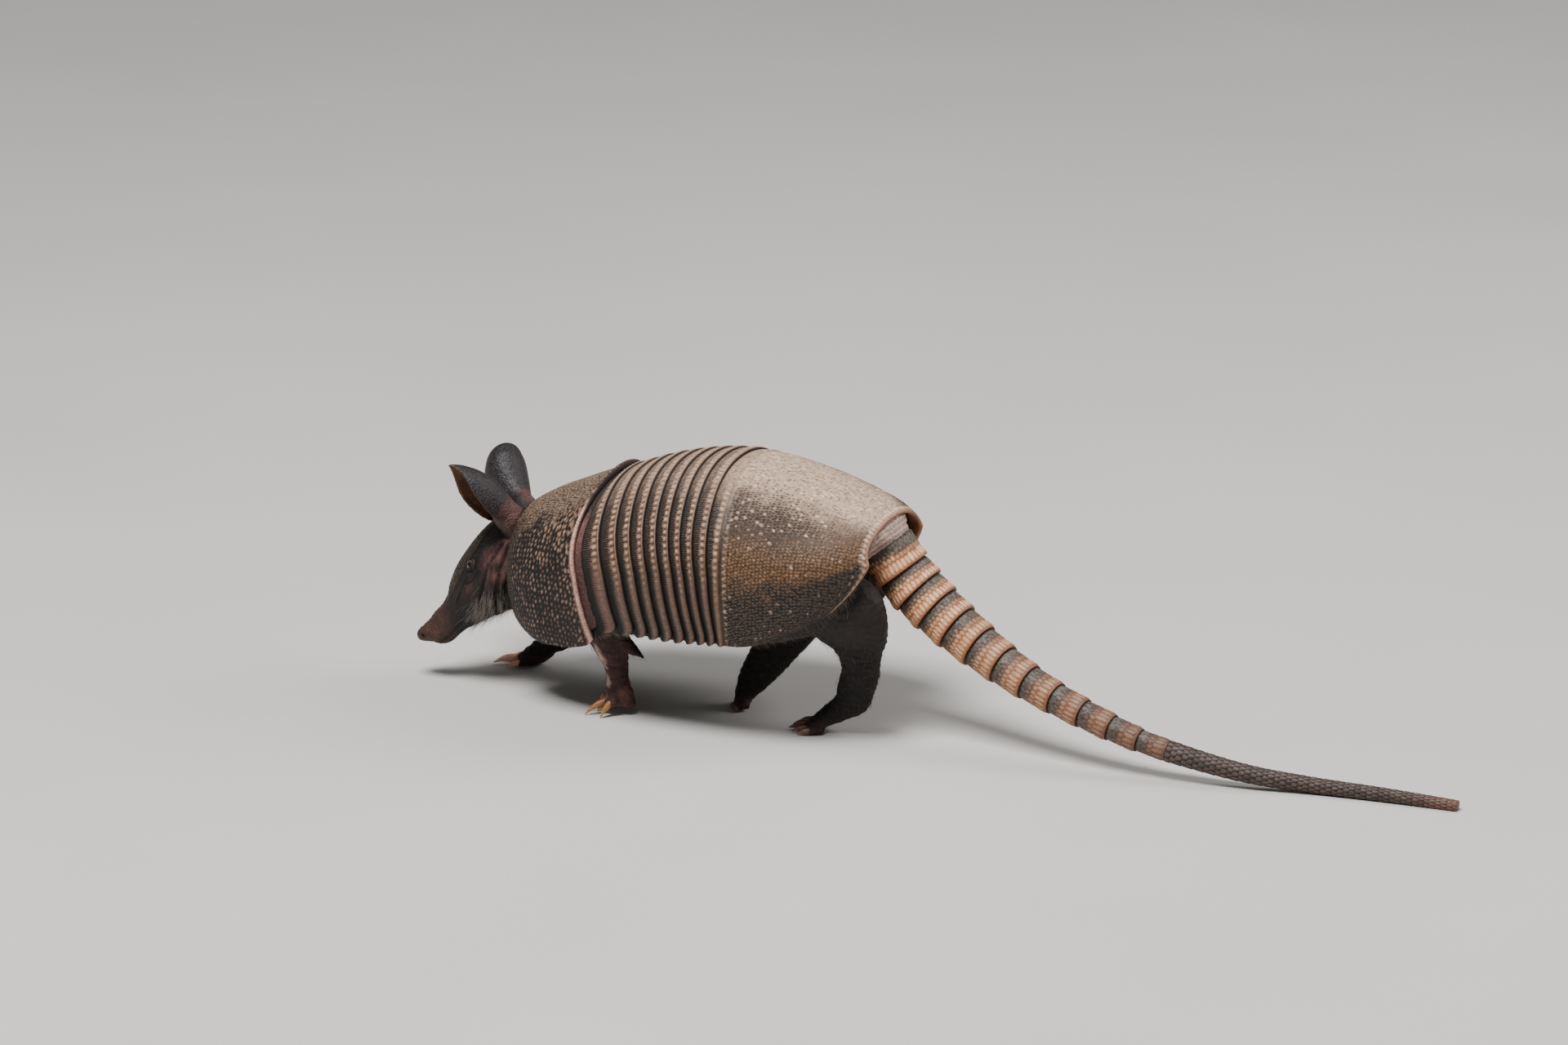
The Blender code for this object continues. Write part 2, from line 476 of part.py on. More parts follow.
def build_ear(name, base, lengthwise, opening, head_clearance):
    """A cupped ear: arcs of a growing and shrinking radius along a slightly bent line."""
    lengthwise = unit(lengthwise)
    opening = np.asarray(opening, dtype=float)
    opening = unit(opening - lengthwise * np.dot(opening, lengthwise))
    aside = np.cross(lengthwise, opening)
    place = np.linspace(-0.16, 1.0, 9)[:, None]
    radius = EAR_RADIUS * along(EAR_RADIUS_SHARE, place)
    turn = np.linspace(-1.0, 1.0, 9)[None, :] * np.radians(along(EAR_HALF_WRAP, place))
    bend = -EAR_BEND * EAR_LENGTH * (place - place ** 2)

    def surface(shrink):
        """The cup's face, its radius made smaller by shrink."""
        size = radius - shrink
        centre = np.asarray(base) + lengthwise * (EAR_LENGTH * place)[..., None] - opening * bend[..., None]
        across = aside * (np.sin(turn) * size)[..., None]
        return centre + across - opening * (np.cos(turn) * size)[..., None]

    ear = add_object(name, sheet_mesh(name, surface(0.0), surface(EAR_WALL)), EAR_GREY)
    combine(ear, head_clearance, "DIFFERENCE")
    return ear


# ---- Tail ----------------------------------------------------------------------------------------------
def tail_frame(distance):
    """Middle, direction, side and up of the tail at distances along its line."""
    line = np.array(TAIL_LINE)
    chords = np.concatenate([[0.0], np.cumsum(np.linalg.norm(np.diff(line, axis=0), axis=1))])
    distance = np.asarray(distance, dtype=float)

    def at(where):
        return np.stack([along(list(zip(chords, line[:, axis])), where) for axis in range(3)], axis=-1)

    middle = at(distance)
    forward = unit(at(distance + 1e-4) - at(distance - 1e-4))
    side = unit(np.cross(forward, np.array([0.0, 0.0, 1.0])))
    up = np.cross(side, forward)
    return middle, forward, side, up


def tail_ring(distance, radius, sides=TAIL_SIDES):
    """Closed ring round the tail, flat where it lies on the floor."""
    middle, _, side, up = tail_frame(distance)
    angle = np.linspace(0.0, 2 * math.pi, sides + 1)[:-1, None]
    ring = middle + radius * (side * np.cos(angle) + up * np.sin(angle))
    ring[:, 2] = np.maximum(ring[:, 2], 0.0)
    return ring


def tail_radius(distance):
    """The tail's radius at a distance from its first ring."""
    return along(TAIL_RADIUS, distance - TAIL_START)


def build_tail():
    """Twelve tapering rings, each with a raised rear edge, and the scaly end of the tail."""
    start = TAIL_START
    for number, length in enumerate(TAIL_RING_STEPS, 1):
        places = [start + (length - GAP) * share for share, _ in RING_PROFILE]
        rings = [tail_ring(place, tail_radius(place) * scale)
                 for place, (_, scale) in zip(places, RING_PROFILE)]
        dark = number / len(TAIL_RING_STEPS)
        color = tuple(a + (b - a) * dark for a, b in zip(TAIL_TAN, TAIL_DARK))
        add_object(f"tail_ring_{number}", rings_mesh(f"tail_ring_{number}", rings), color)
        start += length
    line = np.array(TAIL_LINE)
    length = np.linalg.norm(np.diff(line, axis=0), axis=1).sum()
    places = np.linspace(start, length - GAP, TAIL_TIP_RINGS)
    rings = [tail_ring(place, tail_radius(place), TAIL_TIP_SIDES) for place in places]
    add_object("tail_tip", rings_mesh("tail_tip", rings), TAIL_DARK)
    places = np.linspace(TAIL_START - GAP, TAIL_START + TAIL_CLEARANCE, 6)
    rings = [tail_ring(place, TAIL_RADIUS[0][1] * RING_PROFILE[-1][1] + GAP) for place in places]
    return add_cutter("tail_clearance", rings_mesh("tail_clearance", rings))


# ---- Legs ----------------------------------------------------------------------------------------------
def limb_rings(points, radii, sides=12):
    """Rings along a limb: points are its joints, radii its half depth and its half width at each."""
    points = np.array(points, dtype=float)
    directions = unit(np.gradient(points, axis=0))
    side = np.array([0.0, 1.0, 0.0])
    angle = np.linspace(0.0, 2 * math.pi, sides + 1)[:-1, None]
    rings = []
    for point, direction, (deep, wide) in zip(points, directions, radii):
        side = unit(side - direction * np.dot(side, direction))
        fore = np.cross(side, direction)
        rings.append(point + fore * deep * np.cos(angle) + side * wide * np.sin(angle))
    return rings


def tube_mesh(name, points, radii, sides=6):
    """A closed tapering tube through a few points."""
    return rings_mesh(name, limb_rings(points, [(radius, radius) for radius in radii], sides))


def floor_slab():
    """A guide box under the floor that cuts the soles flat."""
    shape = bmesh.new()
    bmesh.ops.create_cube(shape, size=1.0)
    bmesh.ops.translate(shape, verts=shape.verts, vec=Vector((0.0, 0.0, -0.5)))
    mesh = bpy.data.meshes.new("floor_slab")
    shape.to_mesh(mesh)
    shape.free()
    return add_cutter("floor_slab", mesh)


def build_leg(name, limb, cutters):
    """The furred upper part of a leg, cut where it meets the trunk."""
    leg = add_object(name, rings_mesh(name, limb_rings(limb["leg"], limb["leg_radii"])), LEG_BROWN)
    if "elbow" in limb:
        point = add_cutter(name + "_elbow", tube_mesh(name + "_elbow", limb["elbow"], ELBOW_RADII, 6))
        combine(leg, point, "UNION")
    for cutter in cutters:
        combine(leg, cutter, "DIFFERENCE")
    wider = [(deep + GAP, wide + GAP) for deep, wide in limb["leg_radii"]]
    rings = limb_rings(limb["leg"], wider)
    rings[-1] = rings[-1] + GAP * unit(rings[-1].mean(axis=0) - rings[-2].mean(axis=0))
    return add_cutter(name + "_clearance", rings_mesh(name + "_clearance", rings))


def build_foot(name, limb, leg_clearance, slab):
    """A foot: a palm with its toes joined to it, and a separate claw in front of each toe."""
    foot = add_object(name, rings_mesh(name, limb_rings(limb["palm"], limb["palm_radii"], 10)), LEG_BROWN)
    combine(foot, leg_clearance, "DIFFERENCE")
    forward = unit(np.array([*limb["forward"], 0.0]))
    aside = np.array([-forward[1], forward[0], 0.0])
    root = np.array(limb["palm"][-1])
    for number, (offset, fan, length, claw) in enumerate(limb["toes"], 1):
        ahead = unit(forward + aside * fan)
        base = root + aside * offset - forward * TOE_ROOT
        base[2] = limb["toe_levels"][0]
        tip = base + ahead * (length + TOE_ROOT)
        tip[2] = limb["toe_levels"][1]
        radius = limb["toe_radius"]
        knuckle = (base + tip) / 2 + np.array([0.0, 0.0, radius * 0.3])
        toe = tube_mesh(f"{name}_toe_{number}", (base, knuckle, tip), (radius, radius, radius * 0.85))
        combine(foot, add_cutter(f"{name}_toe_{number}", toe), "UNION")
        heading = unit(tip - knuckle)
        start = tip + heading * GAP
        end = tip + ahead * claw
        end[2] = limb["claw_level"]
        middle = (start + end) / 2 + np.array([0.0, 0.0, claw * CLAW_ARCH])
        radii = [radius * scale for scale in CLAW_TAPER]
        claw_name = f"{name}_claw_{number}"
        claw_mesh = tube_mesh(claw_name, (start, middle, end), radii, 6)
        for vert in claw_mesh.vertices:
            vert.co.z = max(vert.co.z, 0.0)
        add_object(claw_name, claw_mesh, CLAW_HORN)
        wider = [width + GAP for width in radii]
        bed = tube_mesh(claw_name + "_bed", (start - heading * GAP, middle, end + heading * GAP), wider, 6)
        combine(foot, add_cutter(claw_name + "_bed", bed), "DIFFERENCE")
    combine(foot, slab, "DIFFERENCE")


def place_over_origin():
    """Shift the whole animal so that its box is centred over the origin."""
    bpy.context.view_layer.update()
    depsgraph = bpy.context.evaluated_depsgraph_get()
    lows = []
    highs = []
    for part in bpy.context.scene.objects:
        if part.type == "MESH" and not part.hide_render:
            shape = part.evaluated_get(depsgraph)
            corners = np.array([shape.matrix_world @ vert.co for vert in shape.data.vertices])
            lows.append(corners.min(axis=0))
            highs.append(corners.max(axis=0))
    low = np.min(lows, axis=0)
    high = np.max(highs, axis=0)
    ANIMAL.location = (-(low[0] + high[0]) / 2, -(low[1] + high[1]) / 2, -low[2])


for thing in list(bpy.data.objects):
    bpy.data.objects.remove(thing)
ANIMAL = bpy.data.objects.new("armadillo", None)
bpy.context.scene.collection.objects.link(ANIMAL)

build_shell()
trunk, trunk_clearance = build_trunk()
build_neck()
head, head_clearance = build_head()
for side_name, placing in EARS.items():
    build_ear("ear_" + side_name, placing["base"], placing["lengthwise"], placing["opening"], head_clearance)
tail_clearance = build_tail()
slab = floor_slab()
combine(trunk, tail_clearance, "DIFFERENCE")
for limb_name, limb_sizes in LIMBS.items():
    cutters = [trunk_clearance] if limb_name.startswith("front") else [trunk_clearance, tail_clearance]
    leg_clearance = build_leg(limb_name + "_leg", limb_sizes, cutters)
    build_foot(limb_name + "_foot", limb_sizes, leg_clearance, slab)
place_over_origin()
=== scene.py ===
import math

import bpy
import numpy as np
from bpy.props import FloatProperty, FloatVectorProperty, IntProperty, PointerProperty
from bpy.types import Operator, PropertyGroup
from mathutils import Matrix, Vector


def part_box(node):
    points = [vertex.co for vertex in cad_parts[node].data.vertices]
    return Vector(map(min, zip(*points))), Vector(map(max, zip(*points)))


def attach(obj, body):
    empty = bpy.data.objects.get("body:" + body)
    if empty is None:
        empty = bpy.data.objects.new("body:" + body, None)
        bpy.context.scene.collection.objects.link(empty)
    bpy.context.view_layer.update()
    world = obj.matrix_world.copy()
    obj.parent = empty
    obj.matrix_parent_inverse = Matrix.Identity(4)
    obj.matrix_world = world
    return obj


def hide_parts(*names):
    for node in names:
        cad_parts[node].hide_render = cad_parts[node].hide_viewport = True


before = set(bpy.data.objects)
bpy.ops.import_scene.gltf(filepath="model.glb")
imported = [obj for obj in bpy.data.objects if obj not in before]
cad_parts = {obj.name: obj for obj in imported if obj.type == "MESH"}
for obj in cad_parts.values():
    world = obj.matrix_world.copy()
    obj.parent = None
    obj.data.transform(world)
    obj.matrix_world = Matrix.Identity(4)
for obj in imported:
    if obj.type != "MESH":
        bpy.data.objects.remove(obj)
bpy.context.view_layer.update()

bl_info = {
    "name": "Armadillo",
    "version": (1, 0, 0),
    "blender": (4, 5, 0),
    "location": "3D View > Sidebar > Armadillo",
    "description": "Builds a life-size armadillo: its shell, skin, tail, claws, eyes and hair",
    "category": "Object",
}

# ---- The shape of the animal, as the solids have it
def rows(width, *tenths):
    """Rows of so many numbers each, from whole tenths of a millimetre to metres."""
    return tuple(zip(*[iter([number / 10000 for number in tenths])] * width))


# Metres.  It faces -X with its left side towards -Y and the floor at z = 0; SHIFT puts it over the origin.
# Curves are rows of (place, value), joints rows of (x, y, z), radii rows of (half depth, half width).
PLATE_THICKNESS = 0.0028
FLESH_DEPTH = 0.0046
SHELL_FULLNESS = 0.92
SHIELD_FRONT = -0.084
SHIELD_REAR = -0.0272
BAND_EDGES, = rows(10, -225, -85, 37, 132, 223, 313, 397, 478, 560, 657)
BANDS_FRONT = BAND_EDGES[0]
BANDS_REAR = BAND_EDGES[-1]
SHELL_END = 0.16
SHELL_TOP = rows(2, -860, 1190, -700, 1286, -500, 1375, -360, 1434, -272, 1462, -225, 1472, -155, 1478,
    -85, 1486, 37, 1525, 132, 1559, 223, 1587, 313, 1611, 478, 1643, 657, 1655, 800, 1640, 1000, 1597,
    1200, 1533, 1350, 1474, 1500, 1411, 1600, 1365)
SHELL_HALF_WIDTH = rows(2, -860, 350, -780, 440, -650, 540, -450, 625, -200, 685, 200, 725, 600, 755,
    1000, 750, 1200, 720, 1400, 650, 1520, 560, 1600, 460)
SHELL_WIDE_LEVEL = rows(2, -860, 820, -600, 830, -300, 950, 200, 1040, 700, 1080, 1100, 1090, 1350, 1120,
    1500, 1160, 1600, 1185)
SHELL_LOW_EDGE = rows(2, -860, 520, -750, 455, -660, 424, -600, 423, -550, 431, -500, 438, -460, 443,
    -420, 455, -380, 467, -340, 482, -300, 505, -272, 542, -200, 598, -120, 609, 0, 611, 300, 612, 500, 622,
    660, 628, 750, 630, 900, 640, 1120, 715, 1280, 790, 1430, 897, 1540, 1010, 1600, 1105)
SHELL_WRAP = ((-0.086, 132.0), (-0.06, 126.0), (-0.03, 118.0), (0.1, 115.0), (0.135, 112.0),
              (0.15, 107.0), (0.16, 102.0))
SHELL_TOP_LEAN = rows(2, -860, 40, -500, 60, -272, 60, -225, 40, -85, -60, 37, -80, 132, -83, 313, -78,
    478, -65, 657, -50, 800, -38, 1000, -12, 1200, 0, 1600, 0)
SHELL_LOW_SWEEP = rows(2, -860, 20, -500, 90, -272, 125, -85, 130, 223, 120, 478, 110, 560, 95, 657, 60,
    757, 20, 900, 0, 1360, 0, 1500, 14, 1600, 52)
TRUNK_FRONT = -0.0745
TRUNK_REAR = 0.154
BELLY_LEVEL = rows(2, -800, 470, -500, 450, 0, 520, 600, 545, 1000, 570, 1300, 640, 1500, 770, 1600, 880)

HEAD_PLACES = (0.0, 0.12, 0.25, 0.38, 0.5, 0.62, 0.72, 0.82, 0.92, 1.0)
HEAD_ROWS = rows(
    10,
    -890, -990, -1105, -1215, -1298, -1352, -1395, -1462, -1525, -1560,
    1135, 1090, 1000, 862, 725, 575, 475, 408, 340, 282,
    -880, -945, -1025, -1100, -1165, -1225, -1275, -1340, -1420, -1500,
    485, 475, 445, 400, 365, 330, 290, 240, 225, 250,
    255, 260, 245, 215, 180, 138, 112, 98, 86, 50)
HEAD_TOP_X, HEAD_TOP_Z, HEAD_LOW_X, HEAD_LOW_Z, HEAD_HALF_WIDTH = (
    tuple(zip(HEAD_PLACES, row)) for row in HEAD_ROWS)
HEAD_Y = ((0.0, -0.0015), (1.0, -0.015))
HEAD_YAW = 11.0
HEAD_EGG = 0.12
HEAD_SHIELD_HALF_ANGLE = ((0.0, 8.0), (0.2, 13.0), (0.3, 30.0), (0.4, 42.0), (0.55, 46.0), (0.7, 40.0))
EYE_AT = (0.36, -52.0)
EYE_RADIUS = 0.004
EYE_SINK = 0.0021

EAR_LENGTH = 0.048
EAR_RADIUS = 0.0122
EAR_BEND = 0.42
EAR_RADIUS_SHARE = ((-0.2, 0.55), (0.0, 0.7), (0.25, 0.92), (0.5, 1.0), (0.75, 0.82), (0.92, 0.46),
                    (1.0, 0.14))
EAR_HALF_WRAP = ((-0.2, 150.0), (0.0, 140.0), (0.3, 112.0), (0.6, 92.0), (1.0, 60.0))
EARS = {
    "left": {"base": (-0.093, -0.0185, 0.114), "lengthwise": (-0.0315, -0.018, 0.0345),
             "opening": (-0.45, -0.76, -0.57), "lean": ((0.0, 0.0), (1.0, 0.0)),
             "width": ((-0.2, 1.0), (1.0, 1.0)),
             "fullness": ((-0.2, 1.0), (0.0, 1.25), (0.35, 1.5), (0.6, 1.4), (0.85, 1.2), (1.0, 1.0))},
    "right": {"base": (-0.096, 0.0165, 0.1115), "lengthwise": (-0.025, 0.027, 0.0225),
              "opening": (-0.5, 0.8, -0.2), "lean": ((0.0, 0.0), (0.5, 0.003), (0.8, 0.001), (1.0, -0.0015)),
              "width": ((-0.2, 0.8), (0.1, 0.86), (0.35, 1.04), (0.6, 1.2), (0.8, 1.38), (0.92, 1.6),
                        (1.0, 1.75)),
              "fullness": ((-0.2, 1.0), (0.3, 1.1), (0.75, 1.25), (1.0, 1.1))},
}

TAIL_LINE = rows(3, 1480, 0, 1290, 1580, 0, 1150, 1665, 0, 1035, 1765, -3, 925, 1884, -13, 826,
    2190, -62, 627, 2572, -150, 450, 2959, -237, 325, 3330, -285, 220, 3714, -290, 140, 4050, -272, 86,
    4380, -225, 54, 4850, -200, 40, 5330, -200, 28)
TAIL_START = 0.0185
TAIL_ROOT_RADIUS = 0.0188
TAIL_RING_STEPS, = rows(12, 150, 155, 158, 172, 186, 196, 206, 210, 206, 204, 196, 190)
TAIL_RADIUS = rows(2, 0, 186, 300, 182, 600, 164, 1000, 132, 1400, 104, 1800, 86, 2200, 66, 2700, 54,
    3200, 46, 3800, 38, 4400, 26, 4600, 20)

LIMBS = {
    "front_left": {
        "leg": rows(3, -200, -370, 800, -160, -370, 560, -125, -365, 430, -95, -360, 300, -88, -360, 205),
        "leg_radii": rows(2, 180, 140, 155, 130, 118, 105, 76, 78, 74, 74),
        "palm": rows(3, -84, -362, 160, -92, -368, 110, -112, -375, 72),
        "palm_radii": rows(2, 80, 80, 78, 88, 46, 78),
        "forward": (-0.85, -0.53),
        "toes": ((0.0072, 0.3, 0.0045, 0.006), (0.0023, 0.05, 0.006, 0.0125),
                 (-0.0025, -0.05, 0.0046, 0.005), (-0.0072, -0.3, 0.004, 0.0042)),
        "toe_levels": (0.0088, 0.0074), "toe_radius": 0.0026, "claw_level": 0.0,
    },
    "front_right": {
        "leg": rows(3, -400, 290, 600, -520, 300, 420, -650, 320, 275, -780, 340, 190, -862, 345, 145),
        "leg_radii": rows(2, 130, 105, 120, 105, 95, 92, 80, 82, 74, 76),
        "palm": rows(3, -908, 338, 96, -960, 325, 62, -1005, 310, 44),
        "palm_radii": rows(2, 76, 82, 70, 86, 52, 78),
        "forward": (-0.96, -0.28),
        "toes": ((0.0072, 0.25, 0.0045, 0.007), (0.0023, 0.04, 0.006, 0.015),
                 (-0.0025, -0.04, 0.0058, 0.0135), (-0.0072, -0.25, 0.004, 0.007)),
        "toe_levels": (0.0034, 0.0028), "toe_radius": 0.0026, "claw_level": 0.0008,
    },
    "hind_left": {
        "leg": rows(3, 1330, -340, 960, 1430, -345, 830, 1500, -325, 680, 1510, -295, 550, 1495, -255, 410,
            1455, -225, 300),
        "leg_radii": rows(2, 180, 170, 260, 180, 208, 155, 140, 125, 120, 105, 122, 95),
        "palm": rows(3, 1430, -212, 230, 1365, -202, 165, 1272, -208, 100, 1190, -225, 42),
        "palm_radii": rows(2, 116, 90, 86, 85, 66, 95, 46, 100),
        "forward": (-0.94, -0.33),
        "toes": ((0.01, 0.22, 0.0045, 0.007), (0.0052, 0.1, 0.0062, 0.0085),
                 (0.0002, 0.0, 0.0072, 0.0095), (-0.005, -0.1, 0.006, 0.0085),
                 (-0.0098, -0.22, 0.0042, 0.007)),
        "toe_levels": (0.0026, 0.0024), "toe_radius": 0.0027, "claw_level": 0.0007,
    },
    "hind_right": {
        "leg": rows(3, 1060, 300, 820, 950, 255, 640, 845, 205, 480, 755, 150, 350, 690, 95, 240),
        "leg_radii": rows(2, 180, 170, 165, 150, 152, 130, 138, 105, 118, 85),
        "palm": rows(3, 645, 55, 160, 615, 25, 95, 600, 10, 50),
        "palm_radii": rows(2, 96, 82, 68, 84, 50, 86),
        "forward": (-0.9, -0.3),
        "toes": ((0.008, 0.22, 0.0024, 0.003), (0.0041, 0.1, 0.0028, 0.004),
                 (0.0001, 0.0, 0.0032, 0.0045), (-0.0041, -0.1, 0.0028, 0.004),
                 (-0.008, -0.22, 0.0022, 0.003)),
        "toe_levels": (0.0036, 0.0021), "toe_radius": 0.0023, "claw_level": 0.0004,
    },
}
ELBOW = rows(3, -80, -370, 480, 5, -385, 440, 105, -400, 392)
ELBOW_RADII = (0.006, 0.0042, 0.0009)
HEEL = np.array([-0.0035, -0.0375, 0.0125])
# The first line carries a painted highlight on the near forearm's bare skin; the second the bare knuckle
# pad.
BARE_FOREARM_HIGHLIGHT = rows(3, -205, -480, 430, -175, -450, 330, -135, -430, 205)
BARE_KNUCKLE = rows(3, -150, -385, 85, -140, -395, 110)
FLESH_NODES = ["trunk", "neck", "head", "snout", "ear_left", "ear_right"]
FLESH_NODES += [limb + part for limb in LIMBS for part in ("_leg", "_foot")]

# The camera's place beside the animal, in the same lengths as above.
CAMERA_PLACE = (1.7478, -4.107, 1.4786)
CAMERA_TURN = (73.0, 0.0, 22.0)
CAMERA_LENS = 171.84


# ---- Curves, noise and lattices
UP = np.array([0.0, 0.0, 1.0])
FAR = 9.0


def along(knots, at):
    """Value at a place on the smooth curve through (place, value) knots: a cubic with central slopes."""
    places, values = np.array(knots).T
    at = np.asarray(at, dtype=float)
    slopes = np.gradient(values, places)
    cell = np.clip(np.searchsorted(places, at) - 1, 0, len(places) - 2)
    width = places[cell + 1] - places[cell]
    t = held((at - places[cell]) / width)
    start = (1 + 2 * t) * (1 - t) ** 2 * values[cell] + t * (1 - t) ** 2 * width * slopes[cell]
    finish = t * t * (3 - 2 * t) * values[cell + 1] + t * t * (t - 1) * width * slopes[cell + 1]
    return start + finish


def unit(vectors):
    """The same vectors with length one."""
    vectors = np.asarray(vectors, dtype=float)
    return vectors / np.maximum(np.linalg.norm(vectors, axis=-1, keepdims=True), 1e-12)


def s_curve(t):
    """The smooth step of t from 0 to 1."""
    return t * t * (3 - 2 * t)


def ramp(value, low, high):
    """0 below low, 1 above high, and a smooth s-curve between; low may be above high, for a step down."""
    return s_curve(held((value - low) / (high - low)))


def bell(value, centre, width):
    """A bell curve of height one at centre that falls to 1/e at width."""
    return np.exp(-((value - centre) / width) ** 2)


def circle(count):
    """Angles of equal steps once round."""
    return np.arange(count) / count * math.tau


def held(value):
    """The value, held between 0 and 1."""
    return np.clip(value, 0.0, 1.0)


def join(*parts, axis=0):
    """Arrays laid end to end."""
    return np.concatenate(parts, axis=axis)


def lengths_of(vectors):
    """Length of each vector."""
    return np.linalg.norm(vectors, axis=-1)


def dots(first, second):
    """Product of each vector with its partner."""
    return np.sum(first * second, axis=1)


def run_lengths(points):
    """Length along a line of points up to each of them."""
    return join([0.0], np.cumsum(lengths_of(np.diff(points, axis=0))))


def chance(first, second, seed):
    """A fixed pseudo-random number from 0 to 1 for each pair of whole numbers."""
    return np.modf(np.abs(np.sin(first * 12.9898 + second * 78.233 + seed * 37.719)) * 43758.5453)[0]


def noise(points, size, seed=0):
    """Smooth noise from -1 to 1: random values on a cubic lattice of the given size, blended by s-curves."""
    scaled = np.asarray(points, dtype=float) / size + seed * 17.31
    cell = np.floor(scaled)
    t = s_curve(scaled - cell)
    total = np.zeros(scaled.shape[:-1])
    for corner in np.ndindex(2, 2, 2):
        at = cell + corner
        value = np.modf(np.abs(np.sin(at @ np.array([12.9898, 78.233, 37.719]) + seed) * 43758.5453))[0]
        weight = np.prod(np.where(np.array(corner) == 1, t, 1 - t), axis=-1)
        total += weight * value
    return total * 2 - 1


def patchy(points, size, seed):
    """The same noise from 0 to 1."""
    return 0.5 + 0.5 * noise(points, size, seed)


def scute_cells(across, ahead, wobble, seed):
    """Lattice of hexagonal cells of unit pitch, their centres moved at random by wobble.  For each point:
    offsets from its nearest centre, distances to the two nearest, and the cell's chance."""
    row_step = math.sqrt(3) / 2
    row_here = np.round(ahead / row_step)
    shape = np.broadcast(across, ahead).shape
    nearest, second = np.full((2, *shape), FAR)
    offset_across, offset_ahead, luck = np.zeros((3, *shape))
    for row_move in (-1, 0, 1):
        row = row_here + row_move
        shift = 0.5 * np.mod(row, 2)
        column_here = np.round(across - shift)
        for column_move in (-1, 0, 1):
            column = column_here + column_move
            beside = across - column - shift - wobble * (chance(column, row, seed) - 0.5)
            before = ahead - row * row_step - wobble * (chance(row, column, seed + 5) - 0.5)
            distance = np.hypot(beside, before)
            closer = distance < nearest
            second = np.where(closer, nearest, np.minimum(second, distance))
            nearest = np.where(closer, distance, nearest)
            offset_across = np.where(closer, beside, offset_across)
            offset_ahead = np.where(closer, before, offset_ahead)
            luck = np.where(closer, chance(column, row, seed + 9), luck)
    return offset_across, offset_ahead, nearest, second, luck


# ---- The body's surfaces
def shell_point(station, turn):
    """The shell's outer face: angle = turn x wrap from the top; y follows the sine of the angle to a power
    below 1, and z its cosine, with one reach above the widest level and one below it."""
    angle = np.radians(turn * along(SHELL_WRAP, station))
    rise = np.cos(angle)
    side = np.sin(angle)
    level = along(SHELL_WIDE_LEVEL, station)
    low_reach = (level - along(SHELL_LOW_EDGE, station)) / -np.cos(np.radians(along(SHELL_WRAP, station)))
    reach = np.where(rise > 0, along(SHELL_TOP, station) - level, low_reach)
    lean = np.where(rise > 0, along(SHELL_TOP_LEAN, station) * rise ** 2, 0.0)
    drop = held(np.abs(turn) * 1.8 - 0.8)
    x = station + lean + along(SHELL_LOW_SWEEP, station) * drop ** 2
    y = along(SHELL_HALF_WIDTH, station) * np.sign(side) * np.abs(side) ** SHELL_FULLNESS
    z = level + reach * rise
    return np.stack(np.broadcast_arrays(x, y, z), axis=-1)


def shell_normal(station, turn):
    """Direction that leaves the shell: across its two tangents."""
    step = 1e-4
    lengthwise = shell_point(station + step, turn) - shell_point(station - step, turn)
    across = shell_point(station, turn + step) - shell_point(station, turn - step)
    return unit(np.cross(across, -lengthwise))


HEAD_ASIDE = np.array([-math.sin(math.radians(HEAD_YAW)), math.cos(math.radians(HEAD_YAW)), 0.0])


def head_point(place, degrees):
    """The head's skin: an egg-shaped ring between a top and a low point, place from nape (0) to nose (1)."""
    angle = np.radians(degrees)
    top, low = (np.stack([along(knots, place) for knots in (across_x, HEAD_Y, across_z)], axis=-1)
                for across_x, across_z in ((HEAD_TOP_X, HEAD_TOP_Z), (HEAD_LOW_X, HEAD_LOW_Z)))
    middle = (top + low) / 2
    egg = 1.0 - HEAD_EGG * np.cos(angle)
    width = (along(HEAD_HALF_WIDTH, place) * np.sin(angle) * egg)[..., None]
    return middle + (top - low) / 2 * np.cos(angle)[..., None] + HEAD_ASIDE * width


def head_normal(place, degrees):
    """Direction that leaves the head: across its two tangents."""
    step = 1e-3
    lengthwise = head_point(place + step, degrees) - head_point(place - step, degrees)
    across = head_point(place, degrees + 1.0) - head_point(place, degrees - 1.0)
    return unit(np.cross(across, lengthwise))


def head_place(points):
    """Place and degrees on the head of each point: the place is stepped by the point's distance from the
    plane of its ring, until that plane passes through the point."""
    place = np.full(len(points), 0.5)
    step = 0.01
    for _ in range(14):
        top = head_point(place, 0.0 * place)
        low = head_point(place, 0.0 * place + 180.0)
        middle = (top + low) / 2
        normal = unit(np.cross(top - low, HEAD_ASIDE))
        ahead = np.minimum(place + step, 1.0)
        pace = dots(head_point(ahead, 0.0 * place + 90.0) - head_point(ahead - step, 0.0 * place + 90.0),
                    normal) / step
        away = dots(points - middle, normal)
        place = held(place + 0.7 * away / np.where(np.abs(pace) < step, step, pace))
    up = unit(top - low)
    height = dots(points - middle, up) / (lengths_of(top - low) / 2)
    width = dots(points - middle, HEAD_ASIDE) / along(HEAD_HALF_WIDTH, place)
    return place, np.degrees(np.arctan2(width, height))


def on_the_head(points):
    """Place on the head of each point, its share of a half turn from the top, and its distance."""
    place, turned = head_place(points)
    away = dots(points - head_point(place, turned), head_normal(place, turned))
    return place, np.abs(turned) / 180.0, np.abs(away)


def on_line(line, where):
    """Points at lengths along the smooth line through several places."""
    line = np.array(line)
    chords = run_lengths(line)
    return np.stack([along(list(zip(chords, values)), where) for values in line.T], axis=-1)


